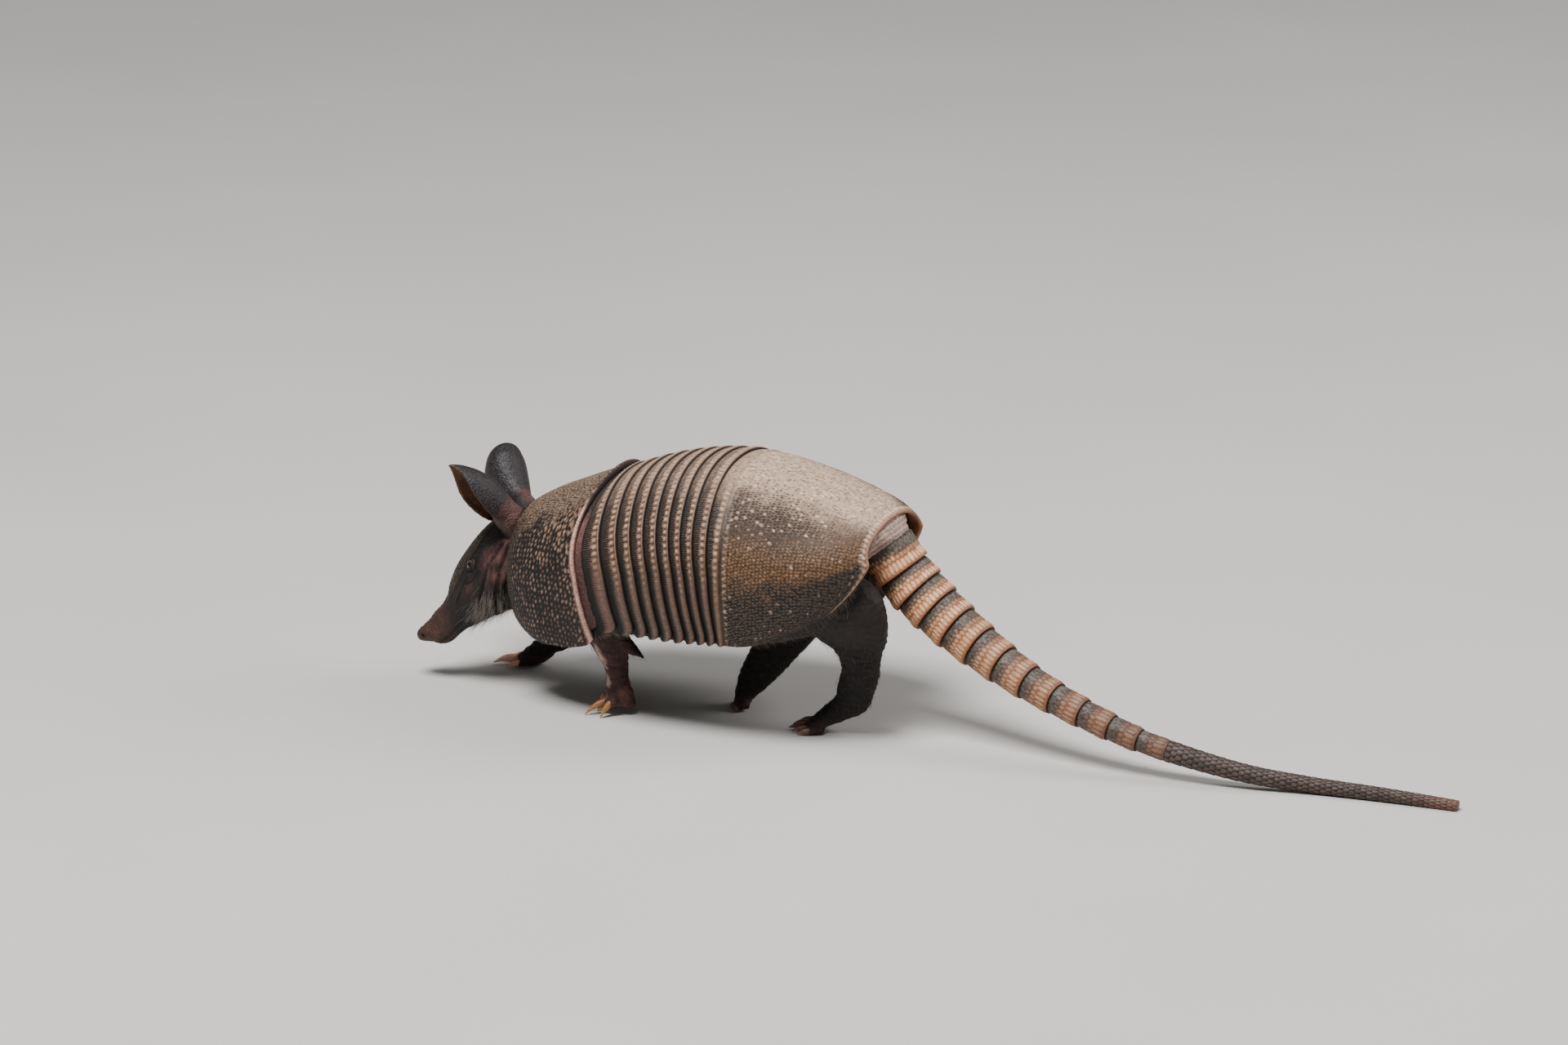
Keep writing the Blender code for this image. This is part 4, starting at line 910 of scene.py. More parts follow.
def hip_relief(across, ahead, station, turn):
    """A first row of scutes as on the bands and a row of beads; then fine grains: dark pits in a tan net
    high up, golden bumps on the flank, painted shade with pale crescents low down; scattered white scutes,
    and pale scales at the rear edge.  The dust is painted lighter towards the top as top light."""
    size = bpy.context.scene.armadillo_shell
    share = (station - BANDS_REAR) / (SHELL_END - BANDS_REAR)
    place = np.stack([station, across, ahead], axis=-1)
    side_turn = np.abs(turn) + 0.045 * noise(place, 0.011, 13) + 0.02 * noise(place, 0.004, 16)
    begin = ahead - size.band_tuck
    row_height, row_marks, _, _ = scute_row(across, begin / 0.0096, turn, place, size.band_pitch, 61)
    row = ramp(begin, 0.0098, 0.0094)
    fused = ramp(side_turn, 0.16, 0.4)
    bead_side = across / size.band_pitch
    bead_side = bead_side - np.round(bead_side)
    bead = np.exp(-((bead_side / 0.24) ** 2 + ((begin - 0.0134) / 0.001) ** 2)) * ramp(side_turn, 0.34, 0.46)
    field = (1 - row) * ramp(begin, 0.0104, 0.014)
    beside, before, near, second, luck = scute_cells(across / 0.0021, ahead / 0.0028, 0.46, 41)
    net = ramp(second - near, 0.34, 0.05)
    core = ramp(np.hypot(beside / 0.85, before), 0.48, 0.16)
    crescent = core * ramp(np.hypot(beside + 0.22 * np.sign(across), before * 0.7), 0.12, 0.32)
    dot_beside, dot_before, _, _, dot_luck = scute_cells(across / 0.0045, ahead / 0.0047, 0.35, 47)
    away = np.hypot(dot_beside, dot_before / 1.2)
    top = ramp(side_turn, 0.44, 0.22)
    gold = ramp(side_turn, 0.43, 0.55) * ramp(side_turn, 0.88, 0.76) * ramp(share, 0.06, 0.14)
    low = ramp(side_turn, 0.77, 0.86)
    shade = bell(side_turn, 0.4, 0.15) * ramp(share, 0.03, 0.12) * ramp(share, 0.85, 0.45)
    spotted = bell(side_turn, 0.44, 0.11) * bell(share, 0.3, 0.18)
    wide = 0.13 + 0.13 * chance(np.round(dot_luck * 97.0), 2.0, 4)
    big = ramp(away, wide + 0.05, wide - 0.04) * ramp(dot_luck + 0.42 * spotted + 0.05 * top, 0.88, 0.97)
    small = ramp(away, 0.19, 0.06) * ramp(dot_luck, 0.15, 0.75) * (1 - top)
    speck = core * ramp(luck, 0.3, 0.85)
    rear = ahead[:, -1:] - ahead
    edge = ramp(rear, 0.004, 0.003)
    scale_side = across / 0.0042
    scale_side = scale_side - np.round(scale_side)
    scale = ramp(np.hypot(scale_side / 0.9, (rear - 0.0034) / 0.005), 0.52, 0.3)
    scale = scale * ramp(rear, 0.0062, 0.005)
    lip = ramp(rear, 0.0012, 0.0006)
    sunk = held(top + shade)
    height = row * (row_height + 0.0004 * fused) + 0.00036 * bead
    height += field * (0.00016 * core * (1 - sunk) - 0.00014 * core * sunk + 0.0003 * big + 0.00016 * small)
    height += 0.0003 * scale
    row_part = row * (0.35 + 0.65 * fused)
    mottle = patchy(place, 0.0015, 15)
    clear = field * (1 - edge)
    marks = {
        "pale": held(row_part * row_marks["pale"] + 0.75 * bead
                     + clear * (0.95 * big + 0.6 * small * (0.4 + 0.6 * shade + 0.1 * gold)
                                + 0.34 * low * crescent + 0.14 * net * (1 - gold) * (1 - low) * (1 - shade)
                                + 0.1 * gold * core * luck)
                     + 0.7 * scale * (1 - lip)),
        "rim": held(row_part * row_marks["rim"] * fused + lip * 0.4 + 0.25 * edge),
        "warm": held(clear * (0.72 * gold * (0.3 + 0.7 * core) * (0.6 + 0.4 * mottle) + 0.4 * shade * net
                              + 0.15 * (1 - low) * (1 - top)) + row_part * row_marks["warm"] * 0.8
                     + 0.1 * low * core),
        # Dust on the top, painted lighter still towards the top of the back as top light.
        "dust_and_top_light": held(top * (0.92 - 0.55 * speck) * (0.66 + 0.34 * mottle) * (1 - 0.5 * edge)
                     * (1 - 0.3 * row)
                     * (0.62 + 0.38 * ramp(side_turn, 0.34, 0.14))
                     + 0.1 * shade * net * mottle),
        # Darker: the row's marks, the dark pits and net, the shade zone, and painted shade over the low
        # flank.
        "deep": np.clip(row_part * row_marks["deep"] * (1 - 0.3 * top)
                        + clear * (0.5 * top * speck + shade * (0.8 * core + 0.1) * (1 - big) * (1 - small)
                                   + 0.66 * gold * net + 0.4 * gold * (1 - mottle)
                                   + low * (0.84 - 0.5 * crescent) + 0.46 * shade
                                   + 0.3 * (1 - top) * (1 - gold) * (1 - low) * core), 0, 0.95),
    }
    return height, marks


class ShellShoulder(Operator):
    """Build the shield over the shoulders and the bare fold of skin behind it"""
    bl_idname = "armadillo.shell_shoulder"
    bl_label = "Shoulder shield"

    def execute(self, context):
        size = context.scene.armadillo_shell
        horn = horn_finish("shoulder horn", size.shoulder_ground, size.shoulder_spot, size.shoulder_rim,
                           tint(150, 118, 84), size.dust_and_top_light, 900.0)
        stations = np.linspace(SHIELD_FRONT, SHIELD_REAR, SHOULDER_GRID[0])
        lift = np.interp(stations, [SHIELD_FRONT, SHIELD_FRONT + 0.004, SHIELD_REAR], [-0.0004, 0.0, 0.0006])
        turns = even_turns(-0.045, SHOULDER_GRID[1])
        side = ramp(np.abs(turns), 0.38, 0.58)
        # Inner face: pink fold skin low on the flank, and painted shade (deep) above it in the gap behind
        # the shield.
        inner = {"pink": 0.7 * side, "rim": 0.12 * (1 - side),
                 "deep": 0.92 * (1 - side) + 0.3 * ramp(np.abs(turns), 0.6, 0.95)}
        mesh = shell_piece("scapular_plate", stations, turns, lift, shoulder_relief, inner=inner)
        add_piece(mesh, horn, "shoulder_shield", "scapular_shield")

        def fold_relief(across, ahead, station, turn):
            """Soft lengthwise wrinkles with fine cross creases."""
            place = np.stack([station * 6, across, turn], axis=-1)
            crease = noise(place, 0.0016, 61)
            height = 0.00022 * np.sin(ahead / 0.0011 + 2 * noise(place, 0.006, 62)) + 0.00015 * crease
            tone = 0.5 + 0.5 * crease
            low = ramp(np.abs(turn), 0.5, 0.85)
            top = ramp(np.abs(turn), 0.46, 0.32)
            # Pink fold skin, darkened (deep) as painted shade on top, in the gap under the shield's rim, and
            # low on the flank.
            return height, {"pink": (0.75 + 0.2 * tone) * (1 - 0.7 * top),
                            "deep": 0.35 * (1 - tone) + 0.12 + 0.3 * low + 0.45 * top}

        stations = np.linspace(SHIELD_REAR - 0.002, BANDS_FRONT + 0.002, FOLD_GRID[0])
        lift = np.full(FOLD_GRID[0], -0.0013)
        turns = even_turns(-0.025, FOLD_GRID[1]) * 0.97
        mesh = shell_piece("shoulder_fold", stations, turns, lift, fold_relief, FOLD_THICKNESS, lobe=0.95,
                           corner=0.84)
        add_piece(mesh, horn, "skin")
        return {"FINISHED"}


class ShellBands(Operator):
    """Build the nine bands across the back"""
    bl_idname = "armadillo.shell_bands"
    bl_label = "Bands"

    def execute(self, context):
        size = context.scene.armadillo_shell
        horn = horn_finish("band horn", size.band_ground, size.band_pale, size.band_rim,
                           tint(120, 84, 68), size.dust_and_top_light, 1100.0)
        edges = np.array(BAND_EDGES)
        for number, (start, end) in enumerate(zip(edges, edges[1:]), 1):
            front = start - size.band_tuck
            stations = join(np.linspace(front, start, 6)[:-1], np.linspace(start, end, 30))
            lift = np.interp(stations, [front, start, start + 0.0012, (start + end) / 2, end - 0.001, end],
                             [-0.0026, -0.0013, -0.0007, -0.0001, 0.0004, 0.0002])
            turns = even_turns((start + end) / 2, BAND_TURNS)
            mesh = shell_piece(f"band_{number}_plate", stations, turns, lift, band_relief, lobe=0.55)
            add_piece(mesh, horn, "band", f"band_{number}")
        return {"FINISHED"}


class ShellHip(Operator):
    """Build the shield over the hips"""
    bl_idname = "armadillo.shell_hip"
    bl_label = "Hip shield"

    def execute(self, context):
        size = context.scene.armadillo_shell
        horn = horn_finish("hip horn", size.hip_ground, size.hip_pale, tint(196, 140, 104), size.hip_gold,
                           size.dust_and_top_light, 900.0)
        front = BANDS_REAR - size.band_tuck
        share = np.linspace(0.0, 1.0, HIP_GRID[0])
        stations = front + (SHELL_END - front) * share ** 0.92
        lift = np.interp(stations, [front, BANDS_REAR, BANDS_REAR + 0.0015, BANDS_REAR + 0.006, SHELL_END],
                         [-0.0027, -0.0017, -0.0009, -0.0004, -0.0003])
        turns = even_turns(0.09, HIP_GRID[1])
        # Its inner face takes the rim's colour, a little darkened as painted shade in the gap.
        mesh = shell_piece("pelvic_plate", stations, turns, lift, hip_relief, lobe=0.2,
                           inner={"rim": 0.8, "deep": 0.3}, corner=0.87)
        add_piece(mesh, horn, "hip_shield", "pelvic_shield")
        return {"FINISHED"}


class ShellHead(Operator):
    """Build the scaly shield on the forehead"""
    bl_idname = "armadillo.shell_head"
    bl_label = "Head shield"

    def execute(self, context):
        size = context.scene.armadillo_shell
        horn = horn_finish("head horn", size.shoulder_ground, tint(90, 78, 60), size.shoulder_rim,
                           tint(76, 62, 42), tint(84, 74, 60), 1000.0)
        low, high = 0.09, 0.66
        shares = np.linspace(-1.0, 1.0, HEAD_GRID[1])
        place, share = np.meshgrid(np.linspace(low, high, HEAD_GRID[0]), shares)
        spread = along(HEAD_SHIELD_HALF_ANGLE, place)
        skin = head_point(place, share * spread)
        normal = head_normal(place, share * spread)
        lengths = np.cumsum(lengths_of(np.diff(skin, axis=1, prepend=skin[:, :1])), axis=1)
        across = share * np.radians(spread) * along(HEAD_HALF_WIDTH, place)
        near_a = scute_cells(across / 0.0034 + 0.5, lengths / 0.0034, 0.5, 71)
        near_b = scute_cells(across / 0.0014, lengths / 0.0014, 0.6, 77)
        gap = ramp(near_a[3] - near_a[2], 0.28, 0.04)
        edge = np.minimum(ramp(1 - np.abs(share), 0.0, 0.16),
                          np.minimum(ramp(place, low, low + 0.06), ramp(place, high, high - 0.08)))
        grain = ramp(near_b[2], 0.5, 0.15)
        height = edge * (0.00075 + 0.00028 * (1 - gap) + 0.00008 * grain) - 0.0005 * (1 - edge)
        outer = skin + normal * height[..., None]
        inner_place, inner_share = np.meshgrid(np.linspace(high, low, INNER_COLUMNS + 1), shares)
        inner_spread = along(HEAD_SHIELD_HALF_ANGLE, inner_place)
        inner = head_point(inner_place, inner_share * inner_spread)
        inner = inner - 0.0012 * head_normal(inner_place, inner_share * inner_spread)
        blank = np.zeros((len(outer), INNER_COLUMNS + 1))
        marks = {
            "pale": 0.4 * (1 - gap) * near_a[4] * edge * grain,
            "warm": 0.45 * patchy(skin, 0.009, 78),
            "dust_and_top_light": 0.35 * (1 - gap) * ramp(noise(skin, 0.006, 79), -0.2, 0.5),
            # Painted shade in the gaps between the scales.
            "deep": 0.75 * gap * edge,
        }
        marks = {mark: join(values, blank, axis=1) for mark, values in marks.items()}
        mesh = grid_mesh("head_plate", join(outer, inner, axis=1), marks)
        add_piece(mesh, horn, "head_shield", "head_shield")
        return {"FINISHED"}


# ---- The tail
TAIL_LENGTH = float(lengths_of(np.diff(np.array(TAIL_LINE), axis=0)).sum())
RING_GAP = 0.0004
# A ring's rows of scutes, each with its middle and half length as shares of the ring, and its height.
RING_ROWS = ((0.3, 0.08, 0.42), (0.46, 0.11, 0.78), (0.745, 0.205, 1.0))
RING_PROFILE = 46
END_PROFILE = 330
END_SIDES = 100


def tail_relief(distance, start, length, turns, radius, number):
    """Three staggered rows of rounded scutes on the rear half of a ring, a thin rim behind them, and a
    grey front with fine grains."""
    size = bpy.context.scene.armadillo_tail
    share = (distance - start) / length
    count = np.maximum(np.round(math.tau * radius.mean() / size.scute), 8)
    height = np.zeros(share.shape)
    pale = np.zeros(share.shape)
    gap = np.zeros(share.shape)
    place = np.stack([turns * math.tau * radius, distance, turns], axis=-1)
    grain = patchy(place, 0.0011, 17)
    cloud = patchy(place, 0.006, 18)
    over = ramp(np.sin(turns * math.tau), 0.35, 0.95)
    worn = 1 - 0.5 * ramp(float(number), 6.0, 12.0)
    for row, (middle, reach, rise) in enumerate(RING_ROWS):
        around = turns * count + 0.5 * row
        beside = around - np.round(around)
        luck = chance(np.round(around), row + 3.0 * number, 5)
        reach = reach * (0.86 + 0.28 * luck)
        ahead = (share - middle + 0.05 * (luck - 0.5)) / reach
        box = (np.abs(beside) / (0.47 - 0.13 * held(-ahead) ** 2)) ** 2.4 + np.abs(ahead) ** 2.6
        dome = ramp(box, 1.0, 0.2)
        height += size.scute_height * rise * dome
        pale += dome ** 0.9 * rise ** 1.4 * (0.6 + 0.4 * luck) * (1 - 0.7 * over * (row < 2)) * worn
        gap = np.maximum(gap, (1 - dome) * ramp(np.abs(ahead), 1.15, 0.6) * (1.0 - 0.45 * (row == 2)))
    rim = 0.8 * ramp(share, 0.96, 0.972) * ramp(share, 0.998, 0.985)
    smooth = ramp(share + 0.04 * np.abs(np.mod(turns * count, 1.0) - 0.5), 0.36, 0.22)
    height += 0.00012 * grain * smooth
    underside = ramp(np.sin(turns * math.tau), -0.2, -0.9)
    return height, {
        "pale": held(pale) * (1 - rim),
        "rim": rim,
        "warm": held(0.45 * underside + 0.85 * ramp(share, 0.32, 0.5)) * (1 - rim) * (1 - 0.4 * over),
        # Grey dust on the front of the ring, more on top, which also paints the top lighter as top light.
        "dust_and_top_light": held((0.3 + 0.45 * over) * smooth * grain * (0.3 + 0.7 * cloud) * (1 - underside)),
        # Darker: the grains' dark spots, and painted shade in the gaps between scutes, on the ring's front
        # where it runs in under the ring before, at its rear edge and underneath.
        "deep": np.clip(0.34 * gap + 0.7 * ramp(share, 0.08, 0.0) + 0.8 * ramp(share, 0.99, 1.0)
                        + 0.75 * smooth * ramp(grain, 0.55, 0.3) * (0.4 + 0.6 * (1 - cloud))
                        + 0.25 * underside, 0, 0.95),
    }


def tail_piece(name, start, length, number):
    """One ring: a grid on a flared profile, its front end tucked into the ring before, closed by smaller
    rings at its ends; the first ring starts earlier, over the bare skin of the root."""
    early = 0.0045 if number == 1 else 0.0
    start = start - early
    length = length + early
    shares = join([0.0, 0.0, 0.0], np.linspace(0.0, 1.0, RING_PROFILE), [1.0, 1.0, 1.0])
    insets = join([-0.75, -0.3, -0.14], np.zeros(RING_PROFILE), [-0.07, -0.35, -0.7])
    first = 0.98 if number == 1 else 0.89
    flare = np.interp(shares, [0.0, 0.12, 0.6, 0.78, 0.93, 1.0],
                      [first, max(first, 0.93), 0.965, 1.0, 1.02, 1.0])
    places = start + length * shares
    places[3 + RING_PROFILE:] -= np.array([0.0, 0.0004, 0.0006])
    places[:3] -= np.array([0.0022, 0.0021, 0.0009])
    sides = int(np.clip(math.tau * tail_radius(start) / 0.00062, 60, 168))
    turns = np.arange(sides) / sides
    distance, turn = np.meshgrid(places, turns)
    radius = tail_radius(distance)
    height, marks = tail_relief(distance, start, length, turn, radius, number)
    height = height * (insets[None, :] == 0)
    wide = radius * (flare * (1 + insets))[None, :] + height
    points = tail_surface(distance, turn, wide)
    return tail_mesh(name, points, marks)


def tail_mesh(name, points, marks):
    """A mesh from a grid with a row for each turn round the tail: laid the other way, as closed rings."""
    size = points.shape[:2]
    return grid_mesh(name, points.transpose(1, 0, 2),
                     {mark: np.broadcast_to(values, size).T for mark, values in marks.items()})


def build_tail_end(start, size):
    """The end of the tail: staggered rows of keeled scales that shrink towards its tip."""
    horn = horn_finish("tail end horn", times(size.dark, 0.7), tint(128, 110, 98),
                       tint(110, 84, 66), tint(120, 76, 58), tint(120, 112, 104), 1400.0)
    length = TAIL_LENGTH - RING_GAP - start
    share = join([0.0, 0.0], np.linspace(0.0, 1.0, END_PROFILE), [1.0, 1.0])
    shrink = join([0.4, 0.8], np.ones(END_PROFILE), [0.6, 0.25])
    distance, turn = np.meshgrid(start + length * share, np.arange(END_SIDES) / END_SIDES)
    radius = tail_radius(distance) * shrink[None, :]
    count = 11.0
    row = (distance - start) / 0.0036
    around = turn * count + 0.5 * np.mod(np.floor(row), 2)
    beside = around - np.round(around)
    ahead = row - np.floor(row)
    scale = ramp(np.abs(beside) / (0.5 - 0.3 * ahead ** 3), 0.98, 0.62) * ramp(ahead, 1.0, 0.86)
    keel = np.exp(-(beside / 0.13) ** 2) * scale
    luck = chance(np.round(around), np.floor(row), 9)
    size_share = np.clip(radius / 0.005, 0.3, 1.0)
    height = size_share * (0.00022 * scale + 0.00016 * keel + 0.0002 * ahead * scale)
    points = tail_surface(distance, turn, radius + height * (shrink[None, :] == 1))
    marks = {
        "pale": 0.28 * keel * (0.4 + 0.6 * luck) * (1 - 0.3 * share[None, :]),
        "warm": ramp(share[None, :], 0.82, 1.0) * 0.8 + 0.2 * luck * scale,
        "dust_and_top_light": 0.2 * luck * scale,
        # Painted shade in the gaps between the scales.
        "deep": 0.8 * (1 - scale),
    }
    add_piece(tail_mesh("tail_end_horn", points, marks), horn, "tail_tip", "tail_tip")


class TailRings(Operator):
    """Build the twelve rings of the tail and its scaly end"""
    bl_idname = "armadillo.tail_rings"
    bl_label = "Tail"

    def execute(self, context):
        size = context.scene.armadillo_tail
        start = TAIL_START
        for number, length in enumerate(TAIL_RING_STEPS, 1):
            fade = ramp(float(number), 1.0, 13.0)
            mixed = [tuple(a + (b - a) * fade * share for a, b in zip(first, size.dark)) for first, share in
                     ((size.ground, 0.85), (size.peach, 0.72), (size.rim, 0.75), (tint(204, 128, 82), 0.8))]
            horn = horn_finish(f"tail horn {number}", mixed[0], mixed[1], mixed[2], mixed[3],
                               tint(150, 140, 128), 1200.0)
            mesh = tail_piece(f"tail_ring_{number}_horn", start, length - RING_GAP * 0.5, number)
            add_piece(mesh, horn, "tail_ring", f"tail_ring_{number}")
            start += length
        build_tail_end(start, size)
        return {"FINISHED"}


# ---- Skin
COAT_DEPTH = 0.0006
SKIN_INSET = FLESH_DEPTH + COAT_DEPTH
SKIN_RINGS = 70
# The part of the trunk that the shell hides: above a level, between two stations.
HIDDEN_ABOVE = 0.078
HIDDEN_FROM = -0.066
HIDDEN_TO = 0.138
LID_SIDES = 96
BODY_UPPER = 61
BODY_LOWER = 37


def ring_degrees():
    """Degrees from the top of the points round the trunk, neck and head: under the shell, then below."""
    upper = np.linspace(-120.0, 120.0, BODY_UPPER)
    lower = np.linspace(120.0, 240.0, BODY_LOWER + 2)[1:-1]
    return join(upper, lower)


def trunk_ring(station, inset):
    """Closed ring of the trunk: an arch under the shell, closed by half an ellipse of belly."""
    turn = np.linspace(-1.0, 1.0, BODY_UPPER)
    arch = shell_point(station, turn) - shell_normal(station, turn) * inset
    sweep = np.linspace(0.0, math.pi, BODY_LOWER + 2)[1:-1]
    low = arch[-1, 2] - along(BELLY_LEVEL, station)
    belly = np.stack([np.full(BODY_LOWER, arch[-1, 0]),
                      arch[-1, 1] * np.cos(sweep),
                      arch[-1, 2] - (low + FLESH_DEPTH - inset) * np.sin(sweep)], axis=-1)
    return join(arch, belly)


def tube(joints, radii, rows=24, columns=28, swell=0.0):
    """A closed tube through joints, with half depth and half width at each, and rounded ends."""
    joints = np.asarray(joints, dtype=float)
    radii = np.asarray(radii, dtype=float).reshape(len(joints), -1)
    deep = radii[:, 0] + swell
    wide = radii[:, -1] + swell
    chords = run_lengths(joints)
    ends = np.radians([84.0, 66.0, 45.0, 22.0])
    share = join(np.zeros(4), np.linspace(0.0, chords[-1], rows), np.full(4, chords[-1]))
    over = join(-np.sin(ends) * min(deep[0], wide[0]), np.zeros(rows),
                np.sin(ends[::-1]) * min(deep[-1], wide[-1]))
    round_off = join(np.cos(ends), np.ones(rows), np.cos(ends[::-1]))
    step = chords[-1] * 0.01
    forward = unit(on_line(joints, np.minimum(share + step, chords[-1]))
                   - on_line(joints, np.maximum(share - step, 0.0)))
    side = unit(np.array([0.0, 1.0, 0.0]) - forward * forward[:, 1:2])
    fore = np.cross(side, forward)
    angle = circle(columns)
    middle = on_line(joints, share) + forward * over[:, None]
    tall, broad = ((along(list(zip(chords, half)), share) * round_off)[:, None, None]
                   for half in (deep, wide))
    return (middle[:, None, :] + fore[:, None, :] * tall * np.cos(angle)[None, :, None]
            + side[:, None, :] * broad * np.sin(angle)[None, :, None])


def toe_lines(limb):
    """For each toe of a limb: the places of its base, knuckle and tip, then its claw's start and point."""
    forward = unit(np.array([*limb["forward"], 0.0]))
    aside = np.array([-forward[1], forward[0], 0.0])
    root = np.array(limb["palm"][-1])
    for offset, fan, length, claw in limb["toes"]:
        ahead = unit(forward + aside * fan)
        base = root + aside * offset - forward * 0.003
        base[2] = limb["toe_levels"][0]
        tip = base + ahead * (length + 0.003)
        tip[2] = limb["toe_levels"][1]
        radius = limb["toe_radius"]
        knuckle = (base + tip) / 2 + np.array([0.0, 0.0, radius * 0.3])
        start = tip + unit(tip - knuckle) * RING_GAP
        point = tip + ahead * claw
        point[2] = limb["claw_level"]
        yield base, knuckle, tip, start, point, radius


def ear_axes(ear):
    """The directions along an ear, out of its opening, and across both."""
    lengthwise = unit(ear["lengthwise"])
    opening = np.asarray(ear["opening"], dtype=float)
    opening = unit(opening - lengthwise * np.dot(opening, lengthwise))
    return lengthwise, opening, np.cross(lengthwise, opening)


def ear_surface(ear, place, turn, shrink):
    """An ear's cup: arcs of a growing and shrinking radius along a bent line, its radius less shrink."""
    lengthwise, opening, aside = ear_axes(ear)
    radius = EAR_RADIUS * along(EAR_RADIUS_SHARE, place) * along(ear["width"], place) - shrink
    angle = turn * np.radians(along(EAR_HALF_WRAP, place))
    bend = -EAR_BEND * EAR_LENGTH * (place - place ** 2)
    centre = (np.asarray(ear["base"]) + lengthwise * (EAR_LENGTH * place)[..., None]
              - opening * bend[..., None] + aside * along(ear["lean"], place)[..., None])
    deep = np.where(np.cos(angle) > 0, along(ear["fullness"], place), 1.0)
    return (centre + aside * (np.sin(angle) * radius)[..., None]
            - opening * (np.cos(angle) * radius * deep)[..., None])


def ear_solid(ear):
    """One ear as a closed grid: its outer face, then its inner face back again."""
    places = np.linspace(-0.16, 1.0, 60)
    turns = np.linspace(-1.0, 1.0, 41)
    turn, place = np.meshgrid(turns, places)
    outer = ear_surface(ear, place, turn, 0.0002)
    inner = ear_surface(ear, place, turn[:, ::-1], 0.0018)
    return join(outer, inner, axis=1)


def join_solids(grids):
    """Points and faces of several closed grids of rings as one set."""
    points = []
    faces = []
    caps = []
    first = 0
    for grid in grids:
        rows, columns = grid.shape[:2]
        points.append(grid.reshape(-1, 3))
        faces.append(grid_faces(rows, columns, first))
        caps.append(end_caps(rows, columns) + first)
        first += rows * columns
    return join(*points), [join(*faces)] + caps


def applied(rough):
    """An object's mesh with its modifiers applied; the object itself goes."""
    mesh = bpy.data.meshes.new_from_object(rough.evaluated_get(bpy.context.evaluated_depsgraph_get()))
    bpy.data.objects.remove(rough)
    return mesh


def remeshed(name, grids, cell, smoothing):
    """Union of closed solids as one even skin: a voxel remesh of all of them, then smoothed."""
    rough = put(name, make_mesh(name, *join_solids(grids)))
    step = rough.modifiers.new("Remesh", "REMESH")
    step.mode = "VOXEL"
    step.voxel_size = cell
    step = rough.modifiers.new("Smooth", "SMOOTH")
    step.factor = 0.5
    step.iterations = smoothing
    return applied(rough)


def read(items, name, width=1, kind=np.float32):
    """Numbers of a mesh's items as an array."""
    flat = np.empty(len(items) * width, dtype=kind)
    items.foreach_get(name, flat)
    return flat


def mesh_points(mesh):
    """The points of a mesh, in the same lengths as the shape's formulas, and the normals there."""
    points = read(mesh.vertices, "co", 3).reshape(-1, 3).astype(float) - SHIFT
    return points, read(mesh.vertex_normals, "vector", 3).reshape(-1, 3).astype(float)


def mesh_faces(mesh):
    """The triangles and quads of a mesh, by their number of corners."""
    sizes = read(mesh.polygons, "loop_total", kind=np.int32)
    starts = read(mesh.polygons, "loop_start", kind=np.int32)
    corners = read(mesh.loops, "vertex_index", kind=np.int32)
    return {count: corners[starts[sizes == count][:, None] + np.arange(count)] for count in (3, 4)}


def line_distance(points, line):
    """Distance of points from a line through several places."""
    best = np.full(len(points), FAR)
    for start, end in zip(line, line[1:]):
        start = np.array(start)
        reach = np.array(end) - start
        share = held(((points - start) @ reach) / (reach @ reach))
        best = np.minimum(best, lengths_of(points - start - share[:, None] * reach))
    return best


# Folds of the head's skin, each a line of (place, share of a half turn) with its depth and width.
HEAD_FOLDS = (
    (((0.1, 0.3), (0.22, 0.42), (0.3, 0.58), (0.34, 0.74)), 0.0011, 0.02),
    (((0.02, 0.32), (0.12, 0.48), (0.18, 0.66), (0.22, 0.86)), 0.0013, 0.022),
    (((0.0, 0.46), (0.08, 0.6), (0.12, 0.78)), 0.0011, 0.02),
    (((0.4, 0.36), (0.47, 0.4), (0.54, 0.46)), 0.0006, 0.016),
    (((0.3, 0.4), (0.36, 0.43), (0.42, 0.4)), 0.0006, 0.012),
)


def head_solids():
    """The closed solids of head, nose and ears; rings from the trunk's front run through the neck."""
    degrees = ring_degrees()
    rings = [head_point(place, degrees) - COAT_DEPTH * head_normal(place, degrees)
             for place in np.linspace(0.0, 0.985, SKIN_RINGS)]
    face = trunk_ring(TRUNK_FRONT, SKIN_INSET)
    centre = face.mean(axis=0)
    start = centre + (face - centre) * 0.9
    neck = [start + (rings[0] - start) * step + np.array([0.0004 - 0.01 * (1 - step) ** 8, 0, 0])
            for step in np.linspace(0.0, 1.0, 12)]
    neck[0] = neck[0] + np.array([0.012, 0.0, 0.0])
    nose = head_point(np.array(0.97), np.array([0.0, 180.0])).mean(axis=0)
    grids = [np.array(neck[:-1] + rings),
             tube([nose + np.array([0.004, 0.0, 0.001]), nose + np.array([-0.0035, 0, 0.0004])],
                  rows(2, 45, 58, 43, 54), 10, 30),
             *[ear_solid(ear) for ear in EARS.values()]]
    for ear in EARS.values():
        base = np.array(ear["base"])
        ahead = unit(ear["lengthwise"])
        grids.append(tube([base - ahead * 0.01, base, base + ahead * 0.004], rows(1, 88, 80, 62), 10, 24))
    return grids


